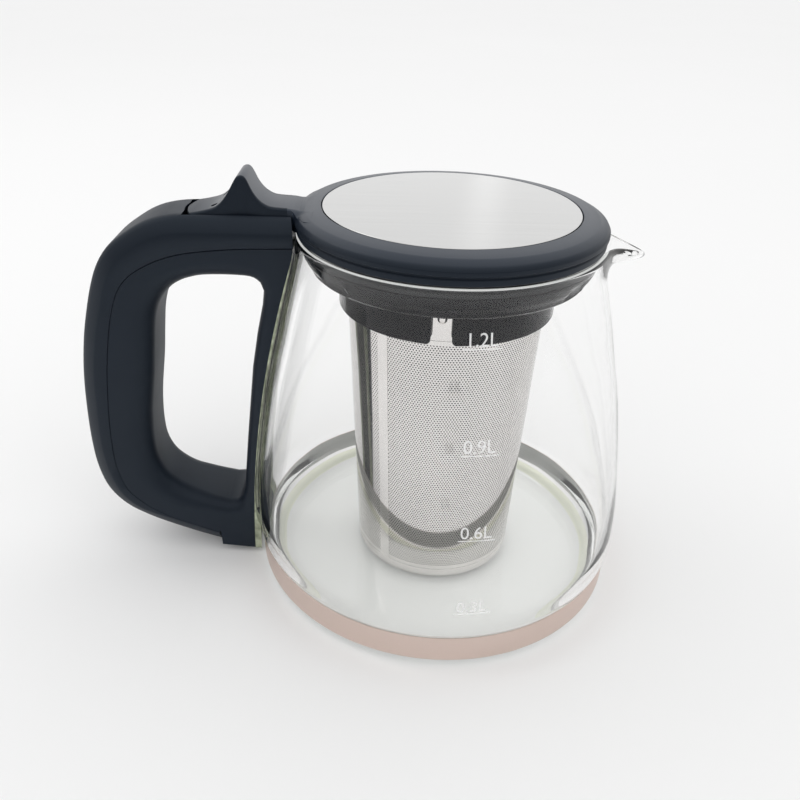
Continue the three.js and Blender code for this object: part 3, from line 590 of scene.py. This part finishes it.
def drawnText(words):
    curve = bpy.data.curves.new("digits", "FONT")
    curve.body = words
    curve.size = markSet["size"]
    curve.extrude = markSet["thick"] / 2
    curve.align_x = "CENTER"
    curve.resolution_u = 6
    holder = bpy.data.objects.new("digits", curve)
    bpy.context.scene.collection.objects.link(holder)
    bpy.context.view_layer.update()
    graph = bpy.context.evaluated_depsgraph_get()
    mesh = bpy.data.meshes.new_from_object(holder.evaluated_get(graph))
    bpy.data.objects.remove(holder)
    return mesh


def makeMark(words, z, look):
    name = "mark_" + words.replace(".", "_")
    bm = bmesh.new()
    bm.from_mesh(drawnText(words))
    bmesh.ops.translate(bm, vec=(0, markSet["gap"], 0), verts=bm.verts)
    line = bmesh.ops.create_grid(bm, x_segments=16, y_segments=1, size=0.5)["verts"]
    bmesh.ops.scale(bm, vec=(markSet["line"], markSet["weight"], 1), verts=line)
    bmesh.ops.translate(bm, vec=(markSet["line"] * markSet["shift"], 0, 0), verts=line)
    piece = finish(bm, name, look)
    return seat(wrapped(piece, z), "jug", "jug_glass")


# Metal band round the foot

bandSet = {
    "outer": 66.0, "inner": 65.45, "split": 0.25, "bottom": 3.0, "top": 12.2, "edge": 0.2,
    "liner": 0.2, "linerInset": 0.1, "linerEdge": 0.05, "facets": 200,
    "outside": {"dark": (0.64, 0.52, 0.465), "light": (0.74, 0.61, 0.55), "rough": (0.3, 0.42),
                "metallic": 0.85},
    "inside": {"dark": (0.5, 0.5, 0.49), "light": (0.6, 0.6, 0.59), "rough": (0.4, 0.55), "metallic": 0.4},
}


def makeBand(outside, inside):
    s = bandSet
    split, low, high = s["inner"] + s["split"], s["bottom"], s["top"]
    outer = filleted([(split, low, 0), (s["outer"], low, s["edge"]), (s["outer"], high, s["edge"]),
                      (split, high, 0)], False)
    seat(spun("foot_band", outer, outside, s["facets"]), "jug", "band_metal", "base_band")
    near, far, edge = s["inner"], s["inner"] + s["liner"], s["linerEdge"]
    low, high = low + s["linerInset"], high - s["linerInset"]
    liner = filleted([(near, low, edge), (far, low, edge), (far, high, edge), (near, high, edge)])
    seat(spun("foot_band_liner", liner, inside, s["facets"]), "jug", "band_metal")


# Handle, in side view: opening edge, seam and outer face, from the lid round to the foot, as shares
# of its reach to the left and of its height

handleSet = {
    "reach": 127.98, "top": 134.4, "half": 13, "topHalf": 9.8, "edge": 5.2, "gripDeep": 8.5, "gripRound": 6.5,
    "stripRound": 4.6, "seamGap": 0.14, "seamStep": 0.3, "seamInset": 0.25, "blendRows": 14,
    "innerShare": 0.6, "glassGap": 1.3, "edgeSteps": 8, "bendFrom": 0.6, "bendTo": 0.2,
    # outer edge: (depth below the outer face, width beyond topHalf)
    "brow": [(1.6, 0.9), (0.5, -0.1), (0.12, -0.9), (0, -2.2)],
    "grip": [
        (0.497, 0.827, 0.352, 0.926, 0.352, 1.000), (0.523, 0.841, 0.453, 0.924, 0.453, 1.000),
        (0.590, 0.842, 0.560, 0.920, 0.562, 1.000), (0.645, 0.839, 0.658, 0.910, 0.672, 0.999),
        (0.676, 0.833, 0.707, 0.901, 0.738, 0.993), (0.703, 0.824, 0.750, 0.888, 0.792, 0.977),
        (0.728, 0.810, 0.792, 0.869, 0.844, 0.947), (0.748, 0.791, 0.830, 0.845, 0.889, 0.912),
        (0.764, 0.769, 0.856, 0.817, 0.921, 0.869), (0.776, 0.744, 0.875, 0.781, 0.945, 0.812),
        (0.786, 0.703, 0.891, 0.728, 0.967, 0.732), (0.793, 0.640, 0.905, 0.658, 0.984, 0.650),
        (0.801, 0.558, 0.917, 0.573, 0.996, 0.551), (0.816, 0.446, 0.926, 0.461, 1.000, 0.446),
        (0.820, 0.357, 0.928, 0.371, 0.998, 0.342), (0.813, 0.290, 0.923, 0.283, 0.988, 0.260),
        (0.791, 0.244, 0.899, 0.208, 0.963, 0.190), (0.759, 0.215, 0.852, 0.160, 0.917, 0.138),
        (0.727, 0.197, 0.812, 0.134, 0.859, 0.103), (0.695, 0.185, 0.770, 0.113, 0.797, 0.076),
        (0.656, 0.172, 0.711, 0.092, 0.719, 0.048), (0.613, 0.162, 0.641, 0.068, 0.641, 0.024),
    ],
    "strip": [
        (0.611, 0.162, 0.636, 0.070), (0.609, 0.161, 0.633, 0.025), (0.586, 0.163, 0.516, 0.015),
        (0.570, 0.176, 0.453, 0.037), (0.562, 0.208, 0.438, 0.179), (0.556, 0.283, 0.438, 0.283),
        (0.547, 0.379, 0.438, 0.379), (0.536, 0.484, 0.422, 0.484), (0.525, 0.588, 0.406, 0.588),
        (0.509, 0.685, 0.391, 0.685), (0.492, 0.766, 0.375, 0.774), (0.488, 0.804, 0.359, 0.848),
    ],
}


def sidePoint(x, z):
    return Vector((-x * handleSet["reach"], z * handleSet["top"]))


def crossSection(start, end, widths):
    # a closed loop across the handle: (distance from start, half width) on both sides
    along = (end - start).normalized()
    spots = [(start + along * far, half) for far, half in widths]
    near = [Vector((p.x, half, p.y)) for p, half in spots]
    return near + [Vector((v.x, -v.y, v.z)) for v in reversed(near)]


def quarter(depth, inset, full, steps):
    # depth and half width round a quarter turn, growing from the face
    line = []
    for k in range(steps + 1):
        a = math.pi / 2 * k / steps
        line.append((depth * (1 - math.cos(a)), full - inset * (1 - math.sin(a))))
    return line


def frameLoop(row, deep, inset):
    start, end = sidePoint(*row[:2]), sidePoint(*row[2:4])
    s = handleSet
    depth = (end - start).length
    edge = quarter(min(deep, depth * s["innerShare"]), inset, s["half"], s["edgeSteps"])
    return crossSection(start, end, [*edge, (depth, s["half"])])


def coverLoop(row):
    start, end = sidePoint(*row[2:4]), sidePoint(*row[4:6])
    s = handleSet
    depth = (end - start).length
    full, low = s["half"], s["half"] - s["seamInset"]
    seam = [(s["seamGap"], low), (s["seamGap"] + s["seamStep"], full)]
    bend = [(depth - s["edge"] - s["bendFrom"], full), (depth - s["edge"] + s["bendTo"], low)]
    brow = [(depth - under, s["topHalf"] + wider) for under, wider in s["brow"]]
    return crossSection(start, end, [*seam, *bend, *brow])


# Rooms kept free for the glass and the lid; above and below lie beyond the handle
roomSet = {
    "below": -6, "above": 141, "bandTop": 12, "wallFrom": 13, "lidReach": 53.5, "lidFloor": 128.2,
    "facets": 128,
}


def glassEnvelope():
    s = roomSet
    gap = handleSet["glassGap"]
    foot = bandSet["outer"] + gap
    line = [(0, s["below"]), (foot, s["below"]), (foot, s["bandTop"])]
    line += [(r + gap, z) for r, z in curved(glassSet["outside"], 2) if z > s["wallFrom"]]
    line += [(line[-1][0], s["above"]), (0, s["above"])]
    return spun("envelope", line, None, s["facets"], closed=False)


def plug(name, reach, low, high, facets):
    line = [(0, low), (reach, low), (reach, high), (0, high)]
    return spun(name, line, None, facets, closed=False)


def lidSpace():
    s = roomSet
    return plug("lid_space", s["lidReach"], s["lidFloor"], s["above"], s["facets"])


hingeSet = {
    "x": -80.5, "z": 129.6, "pin": 1.5, "pinHalf": 7.2, "knuckle": 3.3, "knuckleHalf": 3.9,
    "tongueHalf": 8.6, "sideGap": 0.4, "endGap": 1.0, "end": 88, "bow": 2.3, "tail": 9.2,
    "pinGap": 0.3, "slotRight": -46.5, "slotRise": 0.6, "tailFloor": 123.2, "tailTop": 134.2,
    "tailRight": 3, "tailFrom": 150, "tailTurn": 73, "armFloor": 129, "knuckleRoom": 3.7, "web": 3.9,
    "bowSteps": 24, "tailSteps": 16,
}


def tongueOutline(sideGap, endGap, right):
    s = hingeSet
    half = s["tongueHalf"] + sideGap
    across = [1 - 2 * k / s["bowSteps"] for k in range(s["bowSteps"] + 1)]
    end = [(s["bow"] * a * a - s["end"] - endGap, half * a) for a in across]
    return [(right, half), *end, (right, -half)]


def box(name, x0, x1, half, z0, z1):
    return prism(name, [(x0, z0), (x1, z0), (x1, z1), (x0, z1)], "side", -half, half)


def lying(name, r, half, x, z):
    return prism(name, circle(x, z, r), "side", -half, half)


def tailRoom():
    # the space that the tongue's tail sweeps as the lid opens
    s = hingeSet
    steps = s["tailSteps"]
    turn = [math.radians(s["tailFrom"] + s["tailTurn"] * k / steps) for k in range(steps + 1)]
    arc = [(s["x"] + s["tail"] * math.cos(a), s["z"] + s["tail"] * math.sin(a)) for a in turn]
    half = s["tongueHalf"] + s["sideGap"]
    right = s["x"] - s["tailRight"]
    return prism("tail_room", [*arc, (right, s["tailFloor"]), (right, s["tailTop"])], "side", -half, half)


def hingeCutters():
    s = hingeSet
    x, z, gap, above = s["x"], s["z"], s["sideGap"], roomSet["above"]
    left, right, wide = x - s["tailRight"], x + s["tailRight"], s["knuckleRoom"]
    notch, pinHalf = s["pin"] + s["pinGap"], s["pinHalf"] + s["pinGap"]
    return [
        prism("slot", tongueOutline(gap, s["endGap"], s["slotRight"]), "plan", z + s["slotRise"], above),
        prism("tail", tongueOutline(gap, s["endGap"], left), "plan", s["tailFloor"], above),
        box("arm_room", right, s["slotRight"], s["tongueHalf"] + gap, s["armFloor"], above),
        tailRoom(),
        box("knuckle_room", x - wide, x + wide, s["knuckleHalf"] + gap, z - s["knuckle"] - gap, above),
        box("pin_way", x - notch, x + notch, pinHalf, z, above),
        lying("pin_seat", notch, pinHalf, x, z),
    ]


def makeHandle(look, frameLook):
    rows = [Vector(r) for r in handleSet["grip"]]
    cover = lofted("handle_shell", [coverLoop(r) for r in curved(rows)], look)
    combined(cover, [*hingeCutters(), glassEnvelope(), lidSpace()])
    seat(softened(cover, sharp=40), "jug", "charcoal_plastic", "handle_cover")
    s = handleSet
    line = curved([r[:4] for r in rows])
    low = s["stripRound"]
    grip = []
    for i, row in enumerate(line):
        # the grip's wide rounding fades into the strip's at both ends
        share = smooth(min(i, len(line) - 1 - i) / s["blendRows"])
        deep, inset = (low + (s[key] - low) * share for key in ("gripDeep", "gripRound"))
        grip.append(frameLoop(row, deep, inset))
    strip = [frameLoop(r, low, low) for r in s["strip"]]
    body = lofted("handle_body", grip + strip, frameLook, closed=True)
    combined(body, [glassEnvelope(), lidSpace()])
    seat(softened(body, sharp=40), "jug", "charcoal_plastic", "handle_frame")


# Lid

lidSet = {
    "ring": [
        (43.5, 136.9, 0.25), (49.0, 136.0, 2.5), (51.6, 134.6, 1.5), (52.45, 133.1, 0.8),
        (52.45, 131.7, 0.45), (51.4, 131.2, 0.12), (51.4, 130.8, 0.12), (51.85, 130.4, 0.25),
        (51.85, 128.5, 0.4), (50.9, 128.5, 0.15), (50.9, 132.6, 0.3), (8, 132.6, 0.3), (8, 135.8, 0.2),
        (43.4, 135.8, 0.15),
    ],
    "armTop": [(-88, 134.15), (-86.6, 134.35), (-84.8, 134.6), (-82.4, 135.1), (-79.3, 135.9), (-77, 137),
               (-75, 139), (-73, 142), (-71.6, 144.6), (-70.6, 146.3), (-69.8, 147), (-68.9, 147.22),
               (-67.9, 146.9), (-66.9, 145.6), (-65.2, 142), (-63.3, 139.4), (-61.4, 137.9), (-59.3, 137.05),
               (-56, 136.75), (-54, 136.65), (-52.4, 136.5), (-51, 136.25), (-49.5, 136.05), (-48, 136.1),
               (-46.5, 136.3), (-45.5, 136.45)],
    "armHalf": [(-88, 0.4), (-87.9, 1.8), (-87.5, 4.0), (-87, 5.67), (-86.5, 6.94), (-86, 8.02),
                (-85.7, 8.6), (-75, 8.6), (-70, 7.9), (-67, 7.9), (-62, 8.6), (-54, 8.6), (-53, 8.75),
                (-52, 9.3), (-51, 10.5), (-50, 12.4), (-49.2, 14.4), (-48, 17), (-45.5, 19.5)],
    "underArm": 129.4, "underTail": 133.2, "step": -76.5, "stepGap": 0.02, "edge": 0.9, "edgeShare": 0.6,
    "plate": [(0, 136.1, 0), (43.1, 136.1, 0.15), (43.1, 136.95, 0.3), (0, 136.95, 0)],
    "plateReach": 43.4, "plateFloor": 135.8, "above": 150, "plugReach": 51.1, "plugLow": 120,
    "plugHigh": 133, "facets": 192,
    # shallow moulded holes behind the tab: (x, y)
    "dimples": [(-78.4, -4.3), (-75.9, 4.3)], "dimple": 1.2, "dimpleSteps": 24, "dimpleFloor": 134.8,
    "boreHalf": 30, "edgeSteps": 5,
}


def valueAt(rows, x):
    for (x0, v0), (x1, v1) in zip(rows, rows[1:]):
        if x <= x1:
            return v0 + (v1 - v0) * (x - x0) / (x1 - x0)
    return rows[-1][1]


def armLoop(x, top, half):
    under = lidSet["underTail"] if x < lidSet["step"] else lidSet["underArm"]
    share = lidSet["edgeShare"]
    edge = min(lidSet["edge"], half * share, (top - under) * share)
    side = [(half, under)] + [(half - d, z) for d, z in quarter(edge, edge, top, lidSet["edgeSteps"])]
    return [Vector((x, y, z)) for y, z in side] + [Vector((x, -y, z)) for y, z in reversed(side)]


# Height field over the place where the arm runs out into the ring
flareSet = {
    "slope": [(43, 136.95), (43.7, 136.9), (46.1, 136.6), (48.9, 136), (50.7, 135.3), (51.8, 134.4),
              (52.5, 133.2), (53, 131), (70, 120)],
    "from": -56.2, "step": 0.4, "rows": 33, "half": 21, "perMm": 2, "flat": 7.2, "fall": 0.135,
    "blend": 1.4, "fillet": 0.35, "proud": 0.06, "sink": 0.02, "liftFrom": -46.5, "liftRun": 4,
}


def flareHeight(x, y, top):
    s = flareSet
    arm = valueAt(top, x) - s["fall"] * max(abs(y) - s["flat"], 0) ** 2
    ring = valueAt(s["slope"], math.hypot(x, y))
    near = max(s["blend"] - abs(arm - ring), 0) / s["blend"]
    lift = min(max((s["liftFrom"] - x) / s["liftRun"], 0), 1)
    return max(arm, ring) + lift * (near * near * s["fillet"] + s["proud"]) - s["sink"]


def flareRoom():
    # what stands above the smooth run of the arm's end into the ring
    s = flareSet
    half, above = s["half"], lidSet["above"]
    top = sorted((p.x, p.y) for p in curved(lidSet["armTop"]))
    loops = []
    for i in range(s["rows"]):
        x = s["from"] + s["step"] * i
        spots = [k / s["perMm"] - half for k in range(2 * half * s["perMm"] + 1)]
        row = [Vector((x, y, flareHeight(x, y, top))) for y in spots]
        loops.append([*row, Vector((x, half, above)), Vector((x, -half, above))])
    return lofted("flare_room", loops, None)


def makeLidCover(look):
    s = lidSet
    ring = spun("lid_ring", filleted(s["ring"]), look, s["facets"])
    stations = sorted({round(p.x, 3): p.y for p in curved(s["armTop"])}.items())
    stepTop = valueAt(stations, s["step"])
    stations += [(s["step"] - s["stepGap"], stepTop), (s["step"] + s["stepGap"], stepTop)]
    loops = [armLoop(x, z, valueAt(s["armHalf"], x)) for x, z in sorted(stations)]
    arm = lofted("arm", loops, look)
    h = hingeSet
    x, z, reach = h["x"], h["z"], h["knuckle"]
    web = box("web", x - reach, x + reach, h["knuckleHalf"], z, z + h["web"])
    knuckle = lying("knuckle", reach, h["knuckleHalf"], x, z)
    combined(arm, [web, knuckle], "UNION")
    disc = plug("plate_room", s["plateReach"], s["plateFloor"], s["above"], s["facets"])
    below = plug("plug_room", s["plugReach"], s["plugLow"], s["plugHigh"], s["facets"])
    holes = [lying("bore", h["pin"] + h["pinGap"], s["boreHalf"], h["x"], h["z"])]
    for x, y in s["dimples"]:
        outline = circle(x, y, s["dimple"], s["dimpleSteps"])
        holes.append(prism("dimple", outline, "plan", s["dimpleFloor"], s["above"]))
    combined(arm, [disc, below, flareRoom(), *holes])
    combined(ring, [arm], "UNION")
    return seat(softened(ring, sharp=40), "lid", "charcoal_plastic", "lid_cover")


def makeLidPlate(look):
    disc = spun("lid_disc", filleted(lidSet["plate"], False), look, lidSet["facets"], closed=False)
    return seat(disc, "lid", "lid_steel", "lid_plate")


# Infuser

infuserSet = {
    "ring": [
        (48.2, 129.35, 0.2), (51.2, 129.35, 0.4), (51.2, 128.3, 0.3), (47.5, 128.3, 0.2),
        (47.5, 124.0, 0.2), (49.3, 123.7, 0.4), (49.2, 122.5, 1.5), (48.3, 120.2, 3), (47.0, 118.2, 1.5),
        (46.6, 116.9, 0.4), (45.8, 116.1, 0.6), (38.2, 115.2, 0.6), (37.2, 114.4, 0.5), (37.2, 102.8, 0.4),
        (35.5, 102.8, 0.2), (35.5, 113.1, 0.2), (33.5, 113.1, 0.2), (33.5, 115.2, 0.5), (34.3, 115.7, 0.5),
        (43.4, 117.5, 1), (44.8, 118.8, 1.5), (46, 122.6, 2), (46, 128.6, 0.4),
    ],
    "recess": [(56, 122.8), (47.7, 122.8), (46.9, 120.2), (45.85, 118.2), (45.6, 116.5), (56, 116.5)],
    "recessTurns": [38, 142, -38, -142], "recessHalf": 6.5,
    "slotTurn": -96, "slotHalf": 3.3, "slotTop": 113.5, "slotMouth": 2.0, "slotCorner": 1.2, "slots": 3,
    "slotIn": 34.6, "slotOut": 39, "slotLow": 98, "slotFoot": 102.75, "slotBend": (102.8, 1.96),
    "tubeTop": (34.2, 102.9), "tubeBottom": (29.0, 8.1), "wall": 0.35, "tubeSteps": 24,
    "facets": 200, "lean": 0.22,
    # the holes' "depth" tone is painted shade
    "holes": {"around": 213, "pitch": 0.93, "rowStep": 0.805, "radius": 0.25, "from": 9.6, "to": 101.2,
              "clear": 0.5, "depth": (0.02, 0.02, 0.02)},
    "seamTurn": -130, "seamHalf": 2.0, "seamLift": 0.02, "seamThick": 0.12, "seamSteps": 8,
    "cap": [(0, 3.8, 0), (28.3, 3.8, 1.3), (29.0, 6.2, 0.8), (29.05, 8.0, 0.1), (28.4, 8.0, 0.1),
            (28.3, 6.3, 0.8), (27.5, 4.5, 1.0), (0, 4.5, 0)],
    "seal": [(47.8, 124, 0), (49.6, 124, 0.4), (49.4, 125.6, 0.3), (49.8, 126.6, 0.4), (49.3, 128, 0.3),
             (47.8, 128, 0)],
    "collarLow": 103.2, "collarTop": 112.8, "collarRadius": 34.7, "collarWall": 0.8, "collarEdge": 0.1,
    "dimple": 1.6, "dimpleZ": 111.0, "ringFacets": 160, "bevel": 0.18,
}


def turned(piece, degrees):
    piece.data.transform(Matrix.Rotation(math.radians(degrees), 4, "Z"))
    return piece


def slotCutter(i):
    s = infuserSet
    half, top, corner, mouth = s["slotHalf"], s["slotTop"], s["slotCorner"], s["slotMouth"]
    wide = half + mouth
    low, foot, bend = s["slotLow"], s["slotFoot"], s["slotBend"]
    corners = [(-wide, low, 0), (wide, low, 0), (wide, foot, 0), (half, *bend), (half, top, corner),
               (-half, top, corner), (-half, *bend), (-wide, foot, 0)]
    cutter = prism("slot", filleted(corners), "side", s["slotIn"], s["slotOut"])
    return turned(cutter, s["slotTurn"] - 90 + 360 / s["slots"] * i)


def makeInfuserRing(look):
    s = infuserSet
    ring = spun("infuser_collar_ring", filleted(s["ring"]), look, s["ringFacets"])
    half = s["recessHalf"]
    recesses = [turned(prism("recess", s["recess"], "side", -half, half), a) for a in s["recessTurns"]]
    combined(ring, recesses + [slotCutter(i) for i in range(s["slots"])])
    return seat(softened(ring, sharp=38, width=s["bevel"]), "infuser", "charcoal_plastic", "infuser_ring")


def makeSeal(look):
    s = infuserSet
    ring = spun("infuser_seal", filleted(s["seal"]), look, s["ringFacets"])
    return seat(ring, "infuser", "seal_rubber", "infuser_ring_seal")


def makeTube(look, plain):
    s = infuserSet
    (r1, z1), (r0, z0) = s["tubeTop"], s["tubeBottom"]
    steps = s["tubeSteps"]
    outer = [(r0 + (r1 - r0) * k / steps, z0 + (z1 - z0) * k / steps) for k in range(steps + 1)]
    inner = [(r - s["wall"], z) for r, z in reversed(outer)]
    sheet = spun("infuser_sieve", outer + inner, look, s["facets"])
    seat(sheet, "infuser", "mesh_steel", "infuser_tube")
    loops = []
    across = [2 * k / s["seamSteps"] - 1 for k in range(s["seamSteps"] + 1)]
    for r, z in (outer[0], outer[-1]):
        turns = [math.radians(s["seamTurn"]) + s["seamHalf"] / r * share for share in across]
        loop = [Vector(((r + lift) * math.cos(a), (r + lift) * math.sin(a), z))
                for lift, row in ((s["seamLift"], turns), (s["seamThick"], turns[::-1])) for a in row]
        loops.append(loop)
    seat(lofted("infuser_weld_seam", loops, plain), "infuser", "mesh_steel", "infuser_seam")


def makeCap(look):
    s = infuserSet
    piece = spun("infuser_base_cap", filleted(s["cap"], False), look, s["facets"], closed=False)
    return seat(piece, "infuser", "mesh_steel", "infuser_bottom_cap")


def makeCollar(look):
    s = infuserSet
    r, low, high, edge = s["collarRadius"], s["collarLow"], s["collarTop"], s["collarEdge"]
    inner = r - s["collarWall"]
    line = filleted([(inner, low, edge), (r, low, edge), (r, high, edge), (inner, high, edge)])
    collar = spun("infuser_steel_collar", line, look, s["ringFacets"])
    dimples = []
    for i in range(s["slots"]):
        bm = bmesh.new()
        bmesh.ops.create_uvsphere(bm, u_segments=24, v_segments=16, radius=s["dimple"] * mm)
        a = math.radians(s["slotTurn"] + 360 / s["slots"] * i)
        spot = Vector((r * math.cos(a), r * math.sin(a), s["dimpleZ"]))
        bmesh.ops.translate(bm, vec=spot * mm, verts=bm.verts)
        dimples.append(finish(bm, "dimple", None))
    combined(collar, dimples, "UNION")
    return seat(softened(collar, sharp=40), "infuser", "mesh_steel", "infuser_collar")


# Stage, light and camera

cameraSet = {
    "spot": (-0.023457, -0.262826, 0.215563), "ahead": (0.00401, 0.91753, -0.39765),
    "roll": 1.5545, "focal": 814.34, "centre": (382, 300), "image": 800, "sensor": 36,
}


def addCamera():
    s = cameraSet
    data = bpy.data.cameras.new("camera")
    data.sensor_width = s["sensor"]
    data.lens = s["sensor"] * s["focal"] / s["image"]
    data.shift_x = (s["image"] / 2 - s["centre"][0]) / s["image"]
    data.shift_y = (s["centre"][1] - s["image"] / 2) / s["image"]
    data.clip_start = 0.01
    camera = bpy.data.objects.new("camera", data)
    bpy.context.scene.collection.objects.link(camera)
    ahead = Vector(s["ahead"]).normalized()
    level = ahead.cross(Vector((0, 0, 1))).normalized()
    over = level.cross(ahead)
    roll = math.radians(s["roll"])
    right = level * math.cos(roll) + over * math.sin(roll)
    up = over * math.cos(roll) - level * math.sin(roll)
    turn = Matrix((right, up, -ahead)).transposed()
    camera.matrix_world = Matrix.Translation(s["spot"]) @ turn.to_4x4()
    bpy.context.scene.camera = camera


# Cloth tones; the "under" tone is painted light on the cloth beneath the jug
stageSet = {
    "size": 14.0, "drop": 0.00005, "cloth": (0.89, 0.89, 0.89), "fade": 0.985,
    "room": 0.12, "roomNear": -0.35, "roomFar": -0.9, "under": (0.99, 0.985, 0.98), "paintedLightReach": 0.061,
    "patch": (3, 3), "wave": (4, 3), "depth": 0.004, "share": 0.25,
}
# Brightness of the world before and behind the jug, and the heights where the dim room ends
worldSet = {
    "front": 1.04, "back": 1.0, "room": 0.12, "ahead": (-0.6, 0.4), "above": (0.25, 0.6),
}
lampSet = {
    "key": {"at": (0.6, -0.1, 1.5), "size": (2.0, 2.0), "watts": 1.4},
    "window": {"at": (0.29, 2.0, 0.8), "size": (0.1, 1.2), "watts": 0.05},
    "left": {"at": (-0.8, 0.2, 0.9), "size": (0.5, 0.5), "watts": 0.9},
}


def addStage():
    s = stageSet
    bm = bmesh.new()
    bmesh.ops.create_grid(bm, x_segments=2, y_segments=2, size=s["size"])
    bmesh.ops.translate(bm, vec=(0, 0, -s["drop"]), verts=bm.verts)
    look = Look("pale_cloth", Roughness=0.9)
    tone = tuple(c * s["fade"] for c in s["cloth"])
    # painted reflection: glossy rays that have not passed the glass see the cloth beyond the camera as a dim
    # room
    behind = look.spread(look.axes()[1], 0, 1, s["roomNear"], s["roomFar"])
    glossy = look.node("ShaderNodeLightPath", out="Is Glossy Ray")
    mirrored = glossy * (Val(look, glossy.socket.node.outputs["Transmission Depth"]) < 0.5)
    cloth = look.blend(look.noise(*s["patch"]), tone, s["cloth"])
    # painted light: the cloth under the jug's foot is brighter, for light that passes the glass
    cloth = look.blend(radius(look) < s["paintedLightReach"], cloth, s["under"])
    look.feed(Base_Color=look.blend(behind * mirrored, cloth, (s["room"],) * 3),
              Normal=look.bump(look.noise(*s["wave"]), s["depth"], s["share"]))
    finish(bm, "floor", look)


def addWorld():
    world = bpy.data.worlds.new("studio")
    bpy.context.scene.world = world
    world.use_nodes = True
    tree = world.node_tree

    def fed(kind, settings, *sources, out=0):
        made = tree.nodes.new(kind)
        for key, value in settings.items():
            setattr(made, key, value)
        for i, source in enumerate(sources):
            if isinstance(source, bpy.types.NodeSocket):
                tree.links.new(source, made.inputs[i])
            else:
                made.inputs[i].default_value = source
        return made.outputs[out]

    def fade(value, *limits):
        return fed("ShaderNodeMapRange", {}, value, *limits)

    # reflections from outside the glass see a dim room low behind the camera
    where = tree.nodes.new("ShaderNodeTexCoord").outputs["Generated"]
    axes = fed("ShaderNodeSeparateXYZ", {}, where).node.outputs
    path = tree.nodes.new("ShaderNodeLightPath").outputs
    s = worldSet
    outside = fed("ShaderNodeMath", {"operation": "LESS_THAN"}, path["Transmission Depth"], 0.5)
    mirrored = fed("ShaderNodeMath", {"operation": "MULTIPLY"}, path["Is Glossy Ray"], outside)
    bright = fade(axes[1], *s["ahead"], s["front"], s["back"])
    ahead = fade(axes[1], *s["ahead"], s["room"], s["back"])
    above = fade(axes[2], *s["above"], s["room"], s["back"])
    dim = fed("ShaderNodeMath", {"operation": "MAXIMUM"}, ahead, above)
    choice = tree.nodes.new("ShaderNodeMix")
    for i, source in ((0, mirrored), (2, bright), (3, dim)):
        tree.links.new(source, choice.inputs[i])
    sky = tree.nodes["Background"]
    sky.inputs["Color"].default_value = (1, 1, 1, 1)
    tree.links.new(choice.outputs[0], sky.inputs["Strength"])


def addLamp(name, s):
    data = bpy.data.lights.new(name, "AREA")
    data.shape = "RECTANGLE"
    data.size, data.size_y = s["size"]
    data.energy = s["watts"]
    lamp = bpy.data.objects.new(name, data)
    bpy.context.scene.collection.objects.link(lamp)
    spot = Vector(s["at"])
    lamp.matrix_world = Matrix.Translation(spot) @ (-spot).to_track_quat("-Z", "Y").to_matrix().to_4x4()


def dressFrame(plastic, steel, rubber, adhesive):
    # pieces that keep the solid model's shape get their finish
    dress = {
        "handle_bond_strip": adhesive, "handle_screw_top": steel, "handle_screw_bottom": steel,
        "lid_pin": steel, "lid_plug": plastic, "lid_gasket": rubber, "lid_screw_1": steel,
        "lid_screw_2": steel, "lid_screw_3": steel,
    }
    for name, look in dress.items():
        look.wear(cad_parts[name])


addCamera()
addStage()
addWorld()
for lampName, lampValues in lampSet.items():
    addLamp(lampName, lampValues)
print("stage, lamps and camera ready")

plastic = charcoalPlastic()
ringLook = mouldedLook("infuser_plastic", 1.24, ringSet)
rubber = mouldedLook("seal_rubber", 1.45, rubberSet)
steel = bareSteel("plain_steel")
rolled = bareSteel("rolled_steel", infuserSet["lean"])
sieve = bareSteel("mesh_steel", infuserSet["lean"], infuserSet["holes"])
glass = clearGlass()
adhesive = clearAdhesive()
dressFrame(plastic, steel, rubber, adhesive)
makeGlass(glass)
for words, height in markSet["rows"].items():
    makeMark(words, height, printedMark())
makeBand(bandMetal("band_outside", bandSet["outside"]), bandMetal("band_inside", bandSet["inside"]))
print("glass, marks and band made")
makeHandle(plastic, charcoalPlastic("frame_plastic", filmSet))
print("handle made")
makeLidCover(plastic)
makeLidPlate(discSteel())
print("lid made")
makeInfuserRing(ringLook)
makeSeal(rubber)
makeTube(sieve, rolled)
makeCap(rolled)
makeCollar(steel)
print("infuser made")

bpy.context.scene.view_settings.view_transform = "Standard"
